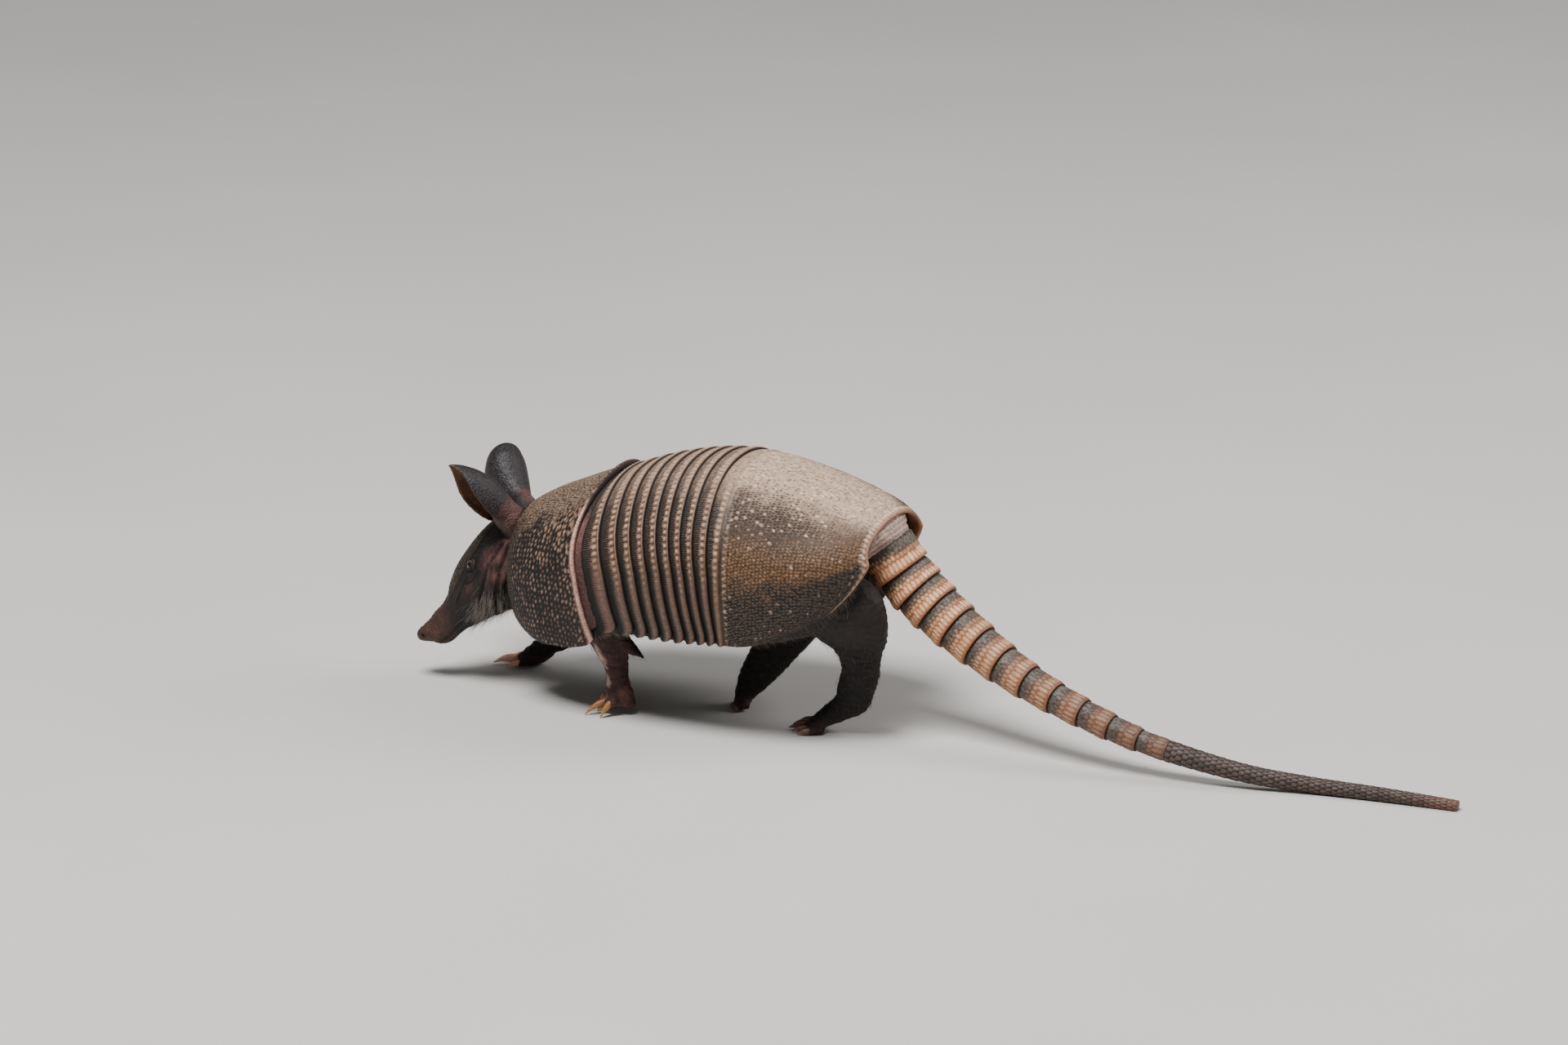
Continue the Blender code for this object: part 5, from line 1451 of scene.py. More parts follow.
def head_part(size):
    """Head, snout, neck and ears: one remesh, then folds, wrinkles, mouth and nostrils pressed in."""
    mesh = remeshed("head skin", head_solids(), size.head_grain, 3)
    points, _ = mesh_points(mesh)
    mesh = thinned(mesh, (points[:, 0] > -0.0815) & (points[:, 2] < 0.112))
    points, normal = mesh_points(mesh)
    place, side, away = on_the_head(points)
    on_head = ramp(away, 0.005, 0.0022)
    flat = np.stack([place, side], axis=-1)
    lift = np.zeros(len(points))
    fold = np.zeros(len(points))
    for line, depth, width in HEAD_FOLDS:
        off = line_distance(flat, line)
        dent = bell(off, 0.0, width * 0.55)
        lift += depth * (-dent + 0.75 * bell(off, width * 1.5, width * 0.8))
        fold = np.maximum(fold, dent)
    wrinkle = noise(points * np.array([1.0, 1.0, 0.35]), 0.0021, 91)
    soft = ramp(side, 0.26, 0.36) * ramp(place, 0.45, 0.3)
    lift += 0.00045 * wrinkle * soft
    pebble = patchy(points, 0.0011, 93)
    lift += 0.0002 * pebble * (1 - soft)
    mouth = bell(side, 0.7 + 0.05 * held(place - 0.8), 0.018) * ramp(place, 0.52, 0.6)
    mouth = mouth * ramp(place, 1.0, 0.985)
    lift -= 0.001 * mouth
    snout = ramp(place + 0.03 * noise(points, 0.004, 96), 0.58, 0.76)
    lift += 0.0012 * bell(place, 0.78, 0.12) * ramp(side, 0.46, 0.12)
    lift += 0.0014 * bell(place, 0.935, 0.035) * ramp(side, 0.62, 0.3)
    rings_of_snout = bell(np.mod(place / 0.034 + 0.15 * noise(points, 0.004, 95), 1.0), 0.5, 0.22)
    lift += 0.00018 * rings_of_snout * snout * (1 - mouth)
    nostril = np.zeros(len(points))
    for hole in head_point(0.985, np.array([62.0, -62.0])):
        tip = lengths_of((points - hole) / np.array([1.0, 1.0, 0.85]))
        nostril = np.maximum(nostril, ramp(tip, 0.0016, 0.0007))
        lift += 0.0004 * bell(tip, 0.002, 0.0007)
    lift -= 0.0013 * nostril
    brow = bell(place, EYE_AT[0] - 0.01, 0.075) * bell(side, 0.235, 0.035)
    cheek = bell(place, EYE_AT[0] + 0.01, 0.08) * bell(side, 0.36, 0.04)
    lift += 0.0009 * brow + 0.0006 * cheek
    points = points + normal * (lift * on_head)[:, None]
    points[:, 0] += 0.0036 * ramp(place, 0.66, 1.02) * on_head
    points = open_sockets(points)
    marks = head_marks(points, place, side, on_head, fold, snout, nostril, mouth)
    return points, mesh_faces(mesh), marks


def open_sockets(points):
    """Push the skin out of each eyeball's front, and leave a shallow bed round it."""
    for side in EYE_SIDES:
        centre, axis = eye_frame(side)
        off = points - centre
        reach = lengths_of(off)
        front = dots(off, axis) / np.maximum(reach, 1e-6)
        inside = ramp(reach, EYE_RADIUS + 0.0022, EYE_RADIUS) * ramp(front, 0.3, 0.62)
        points = points - axis * (0.0026 * inside)[:, None]
    return points


def head_marks(points, place, side, on_head, fold, snout, nostril, mouth):
    """Where the head is pink, bare, pebbled or dark; dark also as painted shade in its folds, mouth,
    nostrils and under the head.
    """
    ear_back = np.zeros(len(points))
    ear_inner = np.zeros(len(points))
    ear_pink = np.zeros(len(points))
    for ear in EARS.values():
        lengthwise, opening, aside = ear_axes(ear)
        off = points - np.asarray(ear["base"])
        share = off @ lengthwise / EAR_LENGTH
        bend = EAR_BEND * EAR_LENGTH * (share - share ** 2)
        across = off @ aside - along(ear["lean"], held(share))
        ahead = off @ opening - np.where((share > 0) & (share < 1), bend, 0.0)
        ahead = np.where(ahead < 0, ahead / along(ear["fullness"], np.clip(share, -0.2, 1)), ahead)
        radius = EAR_RADIUS * along(EAR_RADIUS_SHARE, np.clip(share, -0.2, 1.0))
        radius = radius * along(ear["width"], np.clip(share, -0.2, 1.0))
        near = np.hypot(across, ahead)
        on_ear = ramp(share, 0.02, 0.16) * ramp(near, 0.017, 0.015)
        cup = ramp(near / np.maximum(radius, 1e-4), 0.965, 0.915)
        ear_inner = np.maximum(ear_inner, on_ear * cup)
        ear_back = np.maximum(ear_back, on_ear * (1 - cup))
        ear_pink = np.maximum(ear_pink, ramp(share, 0.2, 0.02) * ramp(share, -0.22, -0.08)
                              * ramp(near, 0.016, 0.011)
                              * ramp(across * np.sign(ear["base"][1]), 0.004, -0.004))
    on_ear = np.maximum(ear_back, ear_inner)
    cloud = patchy(points, 0.0055, 97)
    streak = patchy(points * np.array([1.0, 1.0, 0.3]), 0.0018, 98)
    cheek = ramp(side, 0.22, 0.3) * ramp(side, 0.66, 0.5) * ramp(place, 0.31, 0.22)
    cheek = cheek * (0.5 * cloud + 0.55 * streak)
    near_eye = bell(place, 0.41, 0.07) * bell(side, 0.44, 0.07) * (0.2 + 0.8 * streak)
    return {
        "pink": held(0.62 * ear_pink + 0.85 * (cheek + 0.4 * near_eye) * (1 - on_ear)),
        "snout": snout * (1 - 0.8 * nostril) * (0.6 + 0.4 * ramp(place, 0.72, 0.95))
        * (0.8 + 0.2 * cloud),
        "ear": ear_back,
        "cup": ear_inner,
        "scaly": ramp(side + 0.04 * (cloud - 0.5), 0.36, 0.26) * (1 - snout) * (1 - on_ear),
        # Darker: mottling, and painted shade in the folds, the mouth line, the nostrils and underneath the
        # head.
        "deep": held(0.65 * fold * on_head + 0.9 * nostril + 0.75 * mouth
                     + 0.6 * ramp(side, 0.55, 0.75) * (1 - snout)
                     + (0.3 * (1 - cloud) + 0.45 * (1 - streak)) * (1 - on_ear) * (1 - 0.6 * snout)),
    }


def body_solids(root_middle, root_side, root_up):
    """The closed solids of trunk, legs, toes, elbow and heel; the trunk's last rings shrink to the tail."""
    angle = np.radians(ring_degrees())[:, None]
    root = root_middle + (TAIL_ROOT_RADIUS - 0.0016) * (root_up * np.cos(angle) - root_side * np.sin(angle))
    rings = [trunk_ring(station, SKIN_INSET) for station in np.linspace(TRUNK_FRONT, TRUNK_REAR, SKIN_RINGS)]
    last = rings[-1]
    swell = 0.11 * (last - last.mean(axis=0)) * np.array([0.0, 1.0, 1.0])
    rings += [last + (root - last) * step + swell * math.sin(math.pi * step ** 0.6)
              for step in np.linspace(0.0, 1.0, 13)[1:]]
    grids = [np.array(rings)]
    for limb in LIMBS.values():
        grids.append(tube(limb["leg"] + limb["palm"], limb["leg_radii"] + limb["palm_radii"], 60, 40,
                          -COAT_DEPTH * 0.5))
        for base, knuckle, tip, _, _, radius in toe_lines(limb):
            grids.append(tube([base, knuckle, tip], [radius, radius * 1.02, radius * 0.86], 14, 20, -0.0001))
            half = 0.0012 * unit(tip - base)
            grids.append(tube([knuckle - half, knuckle + half], [radius * 1.05, radius * 1.05], 6, 18))
    grids.append(tube(ELBOW, ELBOW_RADII, 14, 20))
    grids.append(tube([HEEL, HEEL + np.array([0.0022, 0.0, -0.0045])], rows(2, 56, 62, 48, 56), 8, 24))
    return grids


def body_part(size):
    """Trunk, legs and feet: one remesh, made coarser on the back where the shell hides it."""
    root_middle, _, root_side, root_up = tail_frame(np.array(TAIL_START - 0.004))
    mesh = remeshed("body skin", body_solids(root_middle, root_side, root_up), size.body_grain, 3)
    points, _ = mesh_points(mesh)
    x, _, z = points.T
    hidden = (z > HIDDEN_ABOVE) & (x > HIDDEN_FROM) & (x < HIDDEN_TO)
    mesh = thinned(mesh, hidden | ((from_limbs(points) > 0.026) & (x < HIDDEN_TO)))
    points, normal = mesh_points(mesh)
    x, _, z = points.T
    leg = ramp(from_limbs(points), 0.029, 0.021) * ramp(z, 0.072, 0.056)
    crease = noise(points * np.array([1.0, 1.0, 2.2]), 0.0032, 101)
    fine = noise(points, 0.0016, 103)
    lift = 0.00038 * crease + 0.00018 * fine
    joint = bell(np.mod(z / 0.0042 + 0.4 * noise(points, 0.006, 105), 1.0), 0.5, 0.2)
    lift += 0.0003 * joint * leg
    from_root = points - root_middle
    root = ramp(lengths_of(from_root), 0.036, 0.027) * ramp(z, 0.088, 0.1) * ramp(x, 0.148, 0.152)
    forward = np.cross(root_side, root_up)
    behind = from_root @ forward * np.sign(forward[0])
    round_root = np.arctan2(from_root @ root_up, from_root @ root_side)
    striae = noise(np.stack([behind * 0.12, round_root * 0.02, 0 * behind], axis=-1), 0.0007, 107)
    lift = lift * (1 - 0.6 * root)
    rings_of_root = np.sin((behind + 0.004 + 0.0007 * fine) / 0.003 * math.tau)
    lift += root * (0.00014 * striae + 0.00042 * rings_of_root)
    points = points + normal * (lift * ramp(z, 0.0, 0.004))[:, None]
    z = points[:, 2] = np.maximum(points[:, 2], 0.0)
    # A teardrop on the near forearm, painted pale as a highlight on its bare skin (laid on by the patch
    # mark).
    arm = line_distance(points, BARE_FOREARM_HIGHLIGHT)
    forearm = ramp(arm - 0.0018 * bell(z, 0.0365, 0.006) + 0.001 * fine, 0.0041, 0.0016)
    limb = LIMBS["front_left"]
    front_left = ramp(line_distance(points, limb["leg"][2:] + limb["palm"]), 0.02, 0.014)
    knuckle = ramp(line_distance(points, BARE_KNUCKLE), 0.0058, 0.003)
    heel_ball = ramp(line_distance(points, [HEEL, HEEL + 0.001]), 0.0078, 0.005)
    toes = ramp(z, 0.011, 0.004) * leg
    marks = {
        "pink": held(front_left * (0.22 + 0.1 * crease + 0.35 * heel_ball)
                     + 0.15 * root * (0.5 + 0.5 * striae) + 0.28 * toes),
        "scaly": 0.25 * leg * (1 - 0.7 * front_left),
        # Darker: the legs' skin, and painted shade in the hollows of the wrinkles and of the tail root's
        # rings and striae.
        "deep": held(0.5 * (0.5 - crease) * (1 - 0.4 * front_left) * (1 - root)
                     + root * (0.3 * (0.5 - striae) + 0.22 * (1 - rings_of_root))
                     + 0.15 * leg * (1 - front_left)),
        "leg": leg,
        "patch": held(front_left * (0.9 * forearm + 0.38 * knuckle) + 0.92 * root),
    }
    return points, mesh_faces(mesh), marks


def from_limbs(points):
    """Distance of points from the nearest leg's middle line."""
    return np.min([line_distance(points, limb["leg"][1:] + limb["palm"]) for limb in LIMBS.values()], axis=0)


def thinned(mesh, plain):
    """Collapse the faces at the plain or hidden points given, and keep the rest as they are."""
    before = put("thinning", mesh)
    group = before.vertex_groups.new(name="hidden")
    group.add(np.flatnonzero(plain).tolist(), 1.0, "REPLACE")
    step = before.modifiers.new("Decimate", "DECIMATE")
    step.ratio = 1.0 - 0.88 * float(plain.mean())
    step.vertex_group = "hidden"
    step.vertex_group_factor = 1.0
    return applied(before)


def lid(side, width):
    """The lids: folded skin on the eyeball, from an almond-shaped opening out to the head's skin, as one
    closed profile."""
    centre, axis = eye_frame(side)
    fore, aft = head_point(EYE_AT[0] + np.array([0.05, -0.05]), EYE_AT[1] * EYE_SIDES[side])
    ahead = unit(fore - aft)
    ahead = unit(ahead - axis * (ahead @ axis))
    above = np.cross(axis, ahead)
    above = above * np.sign(above[2])
    around = circle(LID_SIDES)[:, None]
    opening = np.radians(25.0 + 12.0 * np.abs(np.cos(around)) ** 1.3 - 3.0 * np.sin(around))
    reach = join([0.0], np.linspace(0.0, 1.0, 26), [1.0, 0.6, 0.2])[None, :]
    folds = 0.5 + 0.5 * np.cos(math.tau * reach * (1.5 + 0.4 * np.sin(around * 2 + 0.6)))
    over = width * (0.55 + 0.65 * folds * (1 - 0.5 * reach) * (1 + 0.4 * np.sin(around)))
    over = over - (width * 2.2) * np.clip(reach - 0.8, 0, 0.2) / 0.2
    over[:, 0] = 0.0
    over[:, -3:] = -0.0006
    turned = opening + (np.radians(84.0) - opening) * reach
    outward = ahead * np.cos(around)[..., None] + above * np.sin(around)[..., None]
    ray = axis * np.cos(turned)[..., None] + outward * np.sin(turned)[..., None]
    points = centre + ray * (EYE_RADIUS * 1.006 + over)[..., None]
    rows, columns = points.shape[:2]
    quads = grid_faces(rows, columns)
    here = np.arange(columns)
    after = (here + 1) % columns
    last = (rows - 1) * columns
    seam = np.stack([here + last, after + last, after, here], axis=-1)
    # Painted light on the lids: the upper back crests of the folds are painted pink and pale as a highlight,
    # and the skin between the folds darker as shade.
    crest = held(0.5 - 0.5 * np.cos(around)) * held(0.3 + 0.7 * np.sin(around))
    crest = crest * folds * ramp(reach, 0.95, 0.45)
    marks = {"pink": 0.06 + 0.45 * crest, "patch": 0.4 * crest,
             "deep": 0.3 + 0.35 * (1 - folds) - 0.3 * crest, "scaly": 0.8 * (1 - crest)}
    marks = {mark: values.ravel() for mark, values in marks.items()}
    points = points.reshape(-1, 3)
    return points, {4: oriented(points, join(quads, seam))}, marks


def joined_skin(parts):
    """All parts, each its points, faces and marks, as one mesh; a mark a part does not name is 0."""
    firsts = np.cumsum([0] + [len(part[0]) for part in parts])
    polygons = [join(*[part[1][corners] + first for part, first in zip(parts, firsts) if corners in part[1]])
                for corners in (3, 4)]
    marks = {name: join(*[np.broadcast_to(part[2].get(name, 0.0), len(part[0])) for part in parts])
             for name in ("pink", "snout", "ear", "cup", "scaly", "deep", "leg", "patch")}
    return make_mesh("skin", join(*[part[0] for part in parts]), polygons, marks)


def skin_finish(size):
    """Skin: dark leather, with pink, bare, pebbled and scaly regions by the marks, and fine wrinkles over
    all of it; the patch mark also paints highlights, and the deep mark painted shade in folds and hollows."""
    hide = Finish("skin", IOR=1.42)
    blotch = hide.noise(130.0, 4.0, 0.6)
    fine = hide.noise(900.0, 3.0, 0.65)
    cells = hide.cells(720.0)
    pebble = hide.between(cells, 0.2, 0.62)
    color = hide.blend(hide.between(blotch, 0.35, 0.65), size.skin, times(size.skin, 1.7))
    color = hide.lay("leg", color, size.leg)
    scaly = hide.blend(pebble, size.head, times(size.head, 0.35))
    color = hide.lay("scaly", color, scaly)
    back = hide.blend(hide.between(blotch, 0.4, 0.6), tuple(size.ear), tint(58, 48, 48))
    color = hide.blend(hide.mark("ear"), color, hide.shade(back, hide.between(pebble, 0.0, 1.0, 1.0, 0.42)))
    cup = hide.blend(hide.between(blotch, 0.4, 0.6), tint(104, 70, 46), tint(66, 44, 32))
    color = hide.lay("cup", color, cup)
    color = hide.lay("pink", color, size.pink)
    snout = hide.blend(hide.between(blotch, 0.35, 0.65), tuple(size.snout), tint(66, 44, 36))
    color = hide.lay("snout", color, snout)
    # Pale patch: bare pads and tail root, and a painted highlight on the near forearm and the lids' fold
    # crests.
    color = hide.lay("patch", color, tint(190, 160, 146))
    # Darkened by the deep mark: dark mottling, and painted shade in folds, creases, nostrils and hollows.
    color = hide.shade(color, hide.between(fine, 0.3, 0.7, 0.62, 1.3) * (1.0 - 0.85 * hide.mark("deep")))
    hide.feed("Base Color", color)
    hide.feed("Roughness", hide.between(fine, 0.3, 0.7, 0.5, 0.74) - 0.14 * hide.mark("ear")
              + 0.2 * hide.mark("leg"))
    rough = 0.35 + 0.1 * hide.mark("ear") + 0.5 * hide.mark("scaly")
    hide.bump(fine * 0.7 + (1.0 - pebble) * rough, 0.00042, 0.9)
    return hide.material


class SkinAll(Operator):
    """Build the one skin of trunk, neck, head, ears, legs and feet, with the rims of the eyelids"""
    bl_idname = "armadillo.skin"
    bl_label = "Skin"

    def execute(self, context):
        size = context.scene.armadillo_skin
        head = head_part(size)
        body = body_part(size)
        lids = [lid(side, size.lid_width) for side in EYE_SIDES]
        parts = [head, body] + lids
        add_piece(joined_skin(parts), skin_finish(size), "skin", *FLESH_NODES)
        return {"FINISHED"}


def oriented(points, quads):
    """The same quads, turned round if their solid's signed volume is negative."""
    a, b, c, d = (points[quads[:, corner]] for corner in range(4))
    volume = np.sum(a * np.cross(b, c)) + np.sum(a * np.cross(c, d))
    return quads if volume > 0 else quads[:, ::-1]


# ---- Eyes and claws
EYE_ROWS = 60
EYE_COLUMNS = 64


class EyePair(Operator):
    """Build the two eyeballs, each with the swell of its clear front"""
    bl_idname = "armadillo.eyes"
    bl_label = "Eyes"

    def execute(self, context):
        size = context.scene.armadillo_skin
        wet = Finish("eye", IOR=1.4, Coat_Weight=1.0, Coat_Roughness=0.03, Roughness=0.18)
        ring = wet.between(wet.noise(1400.0, 3.0, 0.6), 0.3, 0.7, 0.6, 1.6)
        wet.feed("Base Color", wet.blend(wet.mark("iris"), (0.004, 0.003, 0.003),
                                         wet.shade(tuple(size.iris), ring)))
        for name in EYE_SIDES:
            centre, axis = eye_frame(name)
            first = unit(np.cross(axis, UP))
            second = np.cross(axis, first)
            polar, around = np.meshgrid(np.radians(np.linspace(1.2, 178.8, EYE_ROWS)),
                                        circle(EYE_COLUMNS), indexing="ij")
            radius = EYE_RADIUS * (0.985 + 0.045 * np.exp(-(polar / 0.62) ** 2))
            ray = (axis * np.cos(polar)[..., None] + (first * np.cos(around)[..., None]
                                                      + second * np.sin(around)[..., None])
                   * np.sin(polar)[..., None])
            points = centre + ray * radius[..., None]
            iris = ramp(polar, 0.36, 0.42) * ramp(polar, 0.8, 0.72)
            mesh = grid_mesh(f"eyeball_{name}", points, {"iris": iris})
            add_piece(mesh, wet.material, "eye", f"eye_{name}")
        return {"FINISHED"}


def claw_finish(name, middle, root, tip):
    """Horn that changes colour from its root to its tip, with fine streaks."""
    horn = Finish(name, IOR=1.5)
    fine = horn.noise(700.0, 3.0, 0.6)
    color = horn.lay("root", middle, root)
    color = horn.lay("tip", color, tip)
    horn.feed("Base Color", horn.shade(color, horn.between(fine, 0.3, 0.7, 0.68, 1.2)))
    horn.feed("Roughness", horn.between(fine, 0.3, 0.7, 0.3, 0.5))
    horn.bump(fine, 0.00018, 0.6)
    return horn.material


class ClawSets(Operator):
    """Build the claws of each foot: curved horn, taller than wide"""
    bl_idname = "armadillo.claws"
    bl_label = "Claws"

    def execute(self, context):
        size = context.scene.armadillo_skin
        front = claw_finish("front claw", tuple(size.front_claw), tint(204, 134, 114), tint(214, 182, 118))
        near = claw_finish("near claw", tint(170, 116, 66), tint(146, 96, 66), tint(176, 134, 86))
        hind = claw_finish("hind claw", tuple(size.hind_claw), tint(84, 56, 46), tint(134, 108, 92))
        for name, limb in LIMBS.items():
            horn = {"front_right": front, "front_left": near}.get(name, hind)
            grids = []
            roots = []
            tips = []
            for _, _, _, start, point, radius in toe_lines(limb):
                heading = unit(point - start)
                long = np.linalg.norm(point - start)
                rise = np.array([0.0, 0.0, long * 0.13])
                joints = [start - heading * 0.0016, start + heading * long * 0.25 + rise * 0.75,
                          start + heading * long * 0.55 + rise, point + np.array([0.0, 0.0, 0.0006])]
                grid = tube(joints, [(radius * deep, radius * wide) for deep, wide in
                                     ((0.86, 0.74), (0.76, 0.66), (0.55, 0.46), (0.13, 0.12))], 26, 22)
                grid[..., 2] = np.maximum(grid[..., 2], 0.0)
                share = np.linspace(0.0, 1.0, len(grid))[:, None] * np.ones(grid.shape[1])
                grids.append(grid)
                roots.append(ramp(share, 0.4, 0.05).ravel())
                tips.append(ramp(share, 0.55, 0.95).ravel())
            points, faces = join_solids(grids)
            mesh = make_mesh(f"claws_{name}", points, faces, {"root": join(*roots), "tip": join(*tips)})
            add_piece(mesh, horn, "claw",
                      *[f"{name}_foot_claw_{number}" for number in range(1, len(grids) + 1)])
        return {"FINISHED"}


# ---- Hair
SPIKE_SHARES = np.array([0.0, 0.4, 0.76, 1.0])


def spikes(roots, directions, lengths, widths, fall, unwrap):
    """Three-sided bristles: the middle line is root + direction x length x s + fall x length x s squared,
    the width shrinks to a point, and the bake patch stands at the root's place on the skin's unwrap."""
    count = len(roots)
    bend = fall * lengths[:, None]
    side = unit(np.cross(directions, np.array([0.31, 0.22, 0.92])))
    other = np.cross(unit(directions), side)
    corners = []
    for share in SPIKE_SHARES[:3]:
        middle = roots + directions * (lengths * share)[:, None] + bend * share ** 2
        wide = (widths * (1.0 - 0.75 * share))[:, None]
        for angle in (0.0, 2.0944, 4.1888):
            corners.append(middle + wide * (side * math.cos(angle) + other * math.sin(angle)))
    corners.append(roots + directions * lengths[:, None] + bend)
    points = np.stack(corners, axis=1)
    first = (np.arange(count) * 10)[:, None, None]
    quads = [[ring + corner, ring + (corner + 1) % 3, ring + 3 + (corner + 1) % 3, ring + 3 + corner]
             for ring in (0, 3) for corner in range(3)]
    triangles = [[6 + corner, 6 + (corner + 1) % 3, 9] for corner in range(3)] + [[2, 1, 0]]
    quads = (np.array(quads)[None] + first).reshape(-1, 4)
    triangles = (np.array(triangles)[None] + first).reshape(-1, 3)
    local = np.array([[0.0015 * math.cos(corner * 2.0944) * (1 - 0.5 * share),
                       0.0015 * math.sin(corner * 2.0944) * (1 - 0.5 * share)]
                      for share in SPIKE_SHARES[:3] for corner in range(3)] + [[0.0, 0.0]])
    patches = (unwrap[:, None, :] + local[None]).reshape(-1, 2)
    luck = np.repeat(chance(np.arange(count), 3.0, 7), 10)
    along_hair = np.tile(np.array([share for share in SPIKE_SHARES[:3] for _ in range(3)] + [1.0]), count)
    return points.reshape(-1, 3), [quads, triangles], patches, {"luck": luck, "tip": along_hair}


def hair_piece(name, hair, material, slot):
    """Bristles as one piece, with its bake map."""
    points, faces, patches, marks = hair
    mesh = make_mesh(name, points, faces, marks)
    layer = mesh.uv_layers.new(name="OFBake")
    corners = join(*[part.ravel() for part in faces])
    layer.data.foreach_set("uv", patches[corners].astype(np.float32).ravel())
    add_piece(mesh, material, slot)


def body_unwrap(points):
    """Place of skin points on an unwrap of the skin: along its length, and round its middle."""
    length = 0.03 + 0.94 * (points[:, 0] + 0.17) / 0.35
    middle_height = np.interp(points[:, 0], [-0.16, -0.1, -0.06, 0.0, 0.15], [0.035, 0.07, 0.08, 0.1, 0.1])
    turn = np.arctan2(points[:, 1], points[:, 2] - middle_height)
    return np.stack([np.clip(length, 0.01, 0.99), 0.5 + 0.47 * turn / math.pi], axis=-1)


def hair_finish(name, root, tip):
    """Hair whose colour runs from root to tip and differs a little from one to the next."""
    hair = Finish(name, Roughness=0.55, IOR=1.5)
    color = hair.lay("tip", times(root, 0.7), tip)
    hair.feed("Base Color", hair.shade(color, hair.between(hair.mark("luck"), 0.0, 1.0, 0.55, 1.15)))
    return hair.material


def grown(skin, weight, count, seed, lie, lift, length, width, fall):
    """Bristles at seeded random points of the skin, each as likely as its weight; they leave it by lift
    between its normal and the lie of the coat."""
    points, normals = skin
    dice = np.random.default_rng(seed)
    weight = np.maximum(weight, 0.0)
    chosen = dice.choice(len(weight), size=count, replace=True, p=weight / weight.sum())
    lie = np.broadcast_to(lie, points.shape)[chosen]
    normals = normals[chosen]
    flat = unit(lie - normals * dots(lie, normals)[:, None])
    heading = unit(flat * (1 - lift) + normals * lift + 0.16 * dice.normal(size=(count, 3)))
    roots = points[chosen] + 0.0007 * dice.normal(size=(count, 3))
    lengths = length * dice.uniform(0.55, 1.1, count)
    widths = width / 2 * dice.uniform(0.7, 1.1, count)
    return spikes(roots - normals * COAT_DEPTH, heading, lengths, widths, -fall * UP, body_unwrap(roots))


def cheek_hair(size, skin):
    """Long pale bristles that hang from the cheeks and the throat, back and down."""
    points = skin[0]
    place, side, away = on_the_head(points)
    weight = (away < 0.003) * (bell(place, 0.27, 0.12) * bell(side, 0.66, 0.09)
                               + 0.3 * ramp(place, 0.58, 0.46) * ramp(side, 0.78, 0.88))
    lie = np.stack([0.1 - 0.9 * np.clip(place - 0.12, 0, 0.3) / 0.3, 0.15 * np.sign(points[:, 1] + 0.008),
                    np.full(len(points), -0.8)], axis=-1)
    return grown(skin, weight * (points[:, 0] < -0.088), size.cheek_count, 71, lie, 0.12, 0.01,
                 size.thickness * 0.6, 0.3)


def belly_hair(size, skin):
    """Sparse hair of the belly, and the fringe just inside the shell's lower edge."""
    x, y, z = skin[0].T
    low = np.interp(x, [-0.08, -0.03, 0.0, 0.1, 0.15], [0.046, 0.058, 0.062, 0.07, 0.098])
    edge = bell(z, low, 0.006) * (np.abs(y) > 0.035)
    under = 0.25 * (skin[1][:, 2] < -0.5) * (z > 0.04)
    return grown(skin, (edge + under) * (x > -0.07) * (x < 0.152), size.belly_count, 72,
                 (0.55, 0.0, -0.8), 0.3, 0.0058, size.thickness * 0.6, 0.2)


def leg_hair(size, skin):
    """Short hair that lies down the legs, and none on the soles."""
    on_leg = read(bpy.data.objects["skin"].data.attributes["leg"].data, "value")
    weight = on_leg * ramp(skin[0][:, 2], 0.008, 0.016) * (skin[1][:, 2] > -0.8)
    return grown(skin, weight, size.leg_count, 73, (0.25, 0.0, -1.0), 0.12, 0.0042,
                 size.thickness * 0.7, 0.1)


class HairAll(Operator):
    """Build the bristles of cheeks and throat, the hair under the shell's edge and the legs' short hair"""
    bl_idname = "armadillo.hair"
    bl_label = "Hair"

    def execute(self, context):
        size = context.scene.armadillo_hair
        skin = mesh_points(bpy.data.objects["skin"].data)
        pale = hair_finish("pale hair", size.pale, tint(196, 184, 168))
        dark = hair_finish("dark hair", size.dark, tint(118, 100, 86))
        hair_piece("bristles", cheek_hair(size, skin), pale, "head_skin")
        hair_piece("belly_hair", belly_hair(size, skin), pale, "skin")
        hair_piece("leg_hair", leg_hair(size, skin), dark, "leg_skin")
        return {"FINISHED"}


# ---- Stage
FLOOR_RINGS = 12
FLOOR_SIDES = 96


def add_light(name, place, across, power):
    """A large square soft light that faces the animal."""
    lamp = bpy.data.lights.new(name, "AREA")
    lamp.size = across
    lamp.energy = power
    holder = put(name, lamp)
    holder.location = place
    pitch = math.atan2(math.hypot(place[0], place[1]), place[2] - 0.08)
    holder.rotation_euler = (pitch, 0.0, math.atan2(place[1], place[0]) + math.pi / 2)


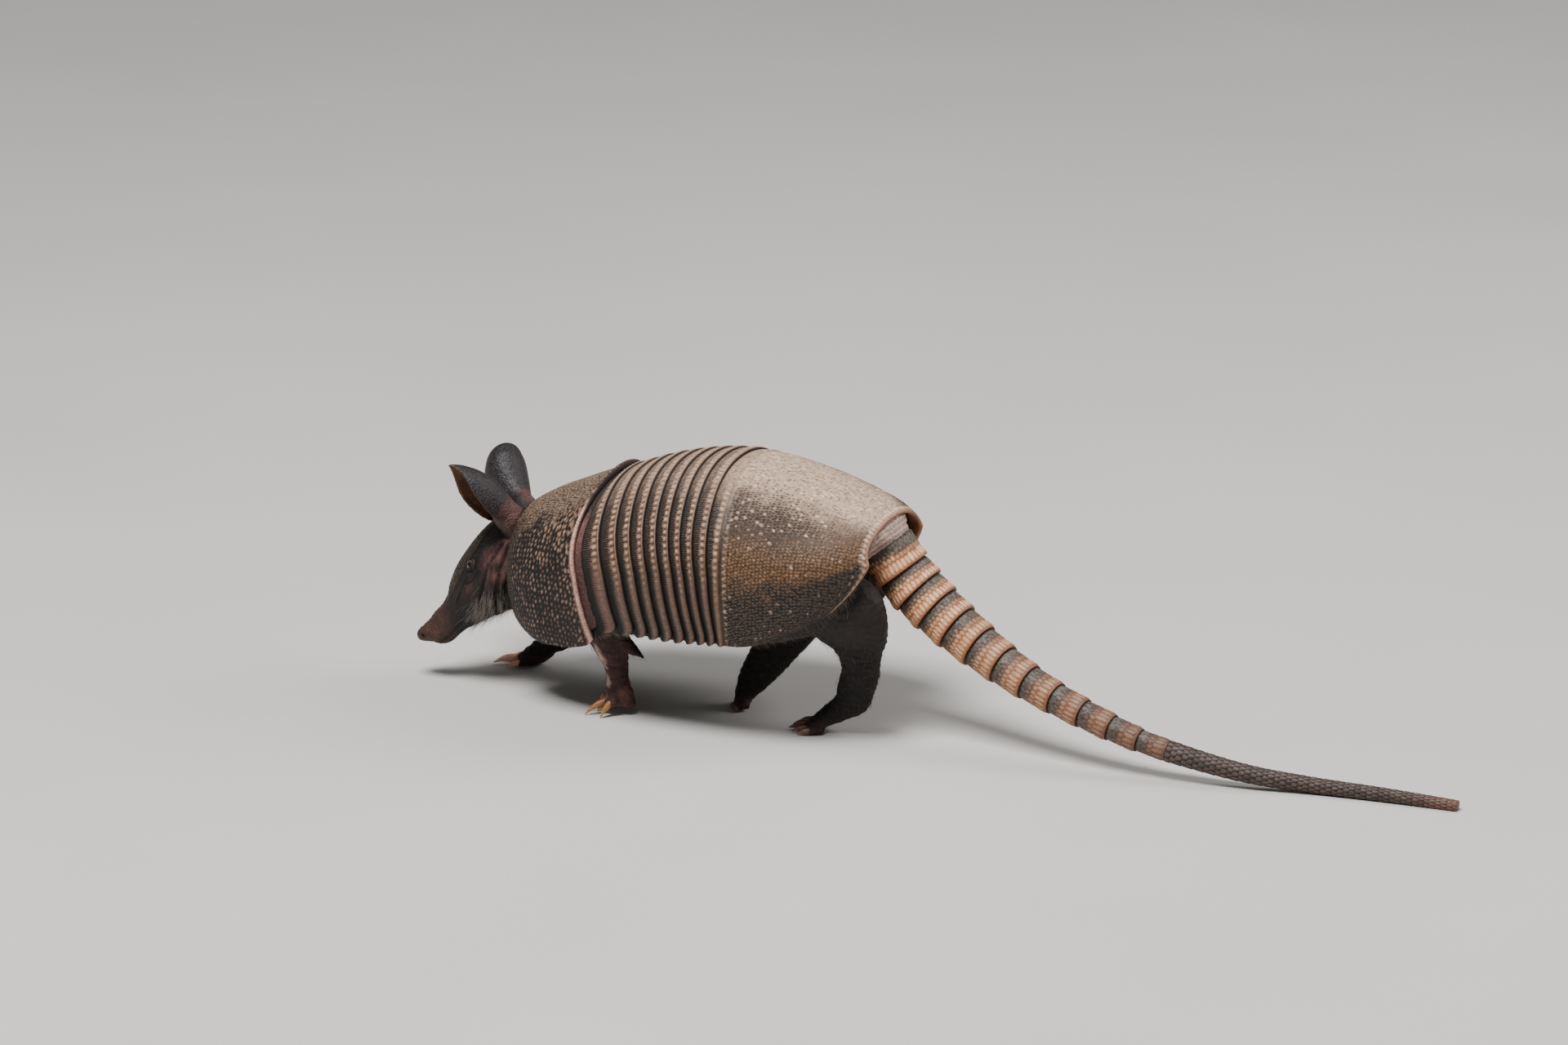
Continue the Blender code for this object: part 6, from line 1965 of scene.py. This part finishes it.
class StageAll(Operator):
    """Set the floor, the soft lights and the camera"""
    bl_idname = "armadillo.stage"
    bl_label = "Stage"

    def execute(self, context):
        size = context.scene.armadillo_stage
        radius, around = np.meshgrid(np.linspace(0.02, 7.0, FLOOR_RINGS), circle(FLOOR_SIDES), indexing="ij")
        points = np.stack([radius * np.cos(around), radius * np.sin(around), 0 * radius], axis=-1) - SHIFT
        faces = [grid_faces(FLOOR_RINGS, FLOOR_SIDES)[:, ::-1], np.arange(FLOOR_SIDES)[None, :]]
        mesh = make_mesh("floor", points, faces)
        plain = Finish("floor", Roughness=0.75)
        plain.feed("Base Color", plain.shade(tuple(size.floor), plain.between(plain.noise(3.0), 0.3, 0.7,
                                                                              0.97, 1.03)))
        mesh.materials.append(plain.material)
        put("floor", mesh)
        add_light("key", (-0.35, -0.95, 2.7), 1.1, size.key_power)
        add_light("side", (1.9, 1.2, 1.9), 1.2, size.key_power * 0.35)
        world = bpy.data.worlds.new("room")
        world.use_nodes = True
        room = world.node_tree.nodes["Background"]
        room.inputs["Color"].default_value = (1.0, 0.985, 0.96, 1.0)
        room.inputs["Strength"].default_value = size.fill
        context.scene.world = world
        camera = bpy.data.cameras.new("camera")
        camera.lens = CAMERA_LENS
        camera.sensor_width = 36.0
        camera.clip_end = 60.0
        view = put("camera", camera)
        view.location = np.array(CAMERA_PLACE) + SHIFT
        view.rotation_euler = [math.radians(angle) for angle in CAMERA_TURN]
        context.scene.camera = view
        return {"FINISHED"}


# ---- Panel and start
OPERATORS = (ShellShoulder, ShellBands, ShellHip, ShellHead, TailRings, SkinAll, EyePair, ClawSets, HairAll,
             StageAll)
SETTINGS = {"armadillo_shell": ShellSettings, "armadillo_skin": SkinSettings, "armadillo_tail": TailSettings,
            "armadillo_hair": HairSettings, "armadillo_stage": StageSettings}


class ArmadilloPanel(bpy.types.Panel):
    """Sizes and colours of the armadillo, and the steps that build it"""
    bl_idname = "VIEW3D_PT_armadillo"
    bl_label = "Armadillo"
    bl_space_type = "VIEW_3D"
    bl_region_type = "UI"
    bl_category = "Armadillo"

    def draw(self, context):
        for operator in OPERATORS:
            self.layout.operator(operator.bl_idname)
        for name, group in SETTINGS.items():
            box = self.layout.box()
            settings = getattr(context.scene, name)
            for setting in group.__annotations__:
                box.prop(settings, setting)


def register():
    """Register the settings, the operators and the panel."""
    for group in (*SETTINGS.values(), *OPERATORS, ArmadilloPanel):
        bpy.utils.register_class(group)
    for name, group in SETTINGS.items():
        setattr(bpy.types.Scene, name, PointerProperty(type=group))


def unregister():
    """Take them away again."""
    for name in SETTINGS:
        delattr(bpy.types.Scene, name)
    for group in (ArmadilloPanel, *OPERATORS, *SETTINGS.values()):
        bpy.utils.unregister_class(group)


def main():
    """Build the whole animal and its stage."""
    register()
    bpy.ops.armadillo.shell_shoulder()
    bpy.ops.armadillo.shell_bands()
    bpy.ops.armadillo.shell_hip()
    bpy.ops.armadillo.shell_head()
    bpy.ops.armadillo.tail_rings()
    bpy.ops.armadillo.skin()
    bpy.ops.armadillo.eyes()
    bpy.ops.armadillo.claws()
    bpy.ops.armadillo.hair()
    bpy.ops.armadillo.stage()
    bpy.context.view_layer.update()


if __name__ == "__main__":
    main()
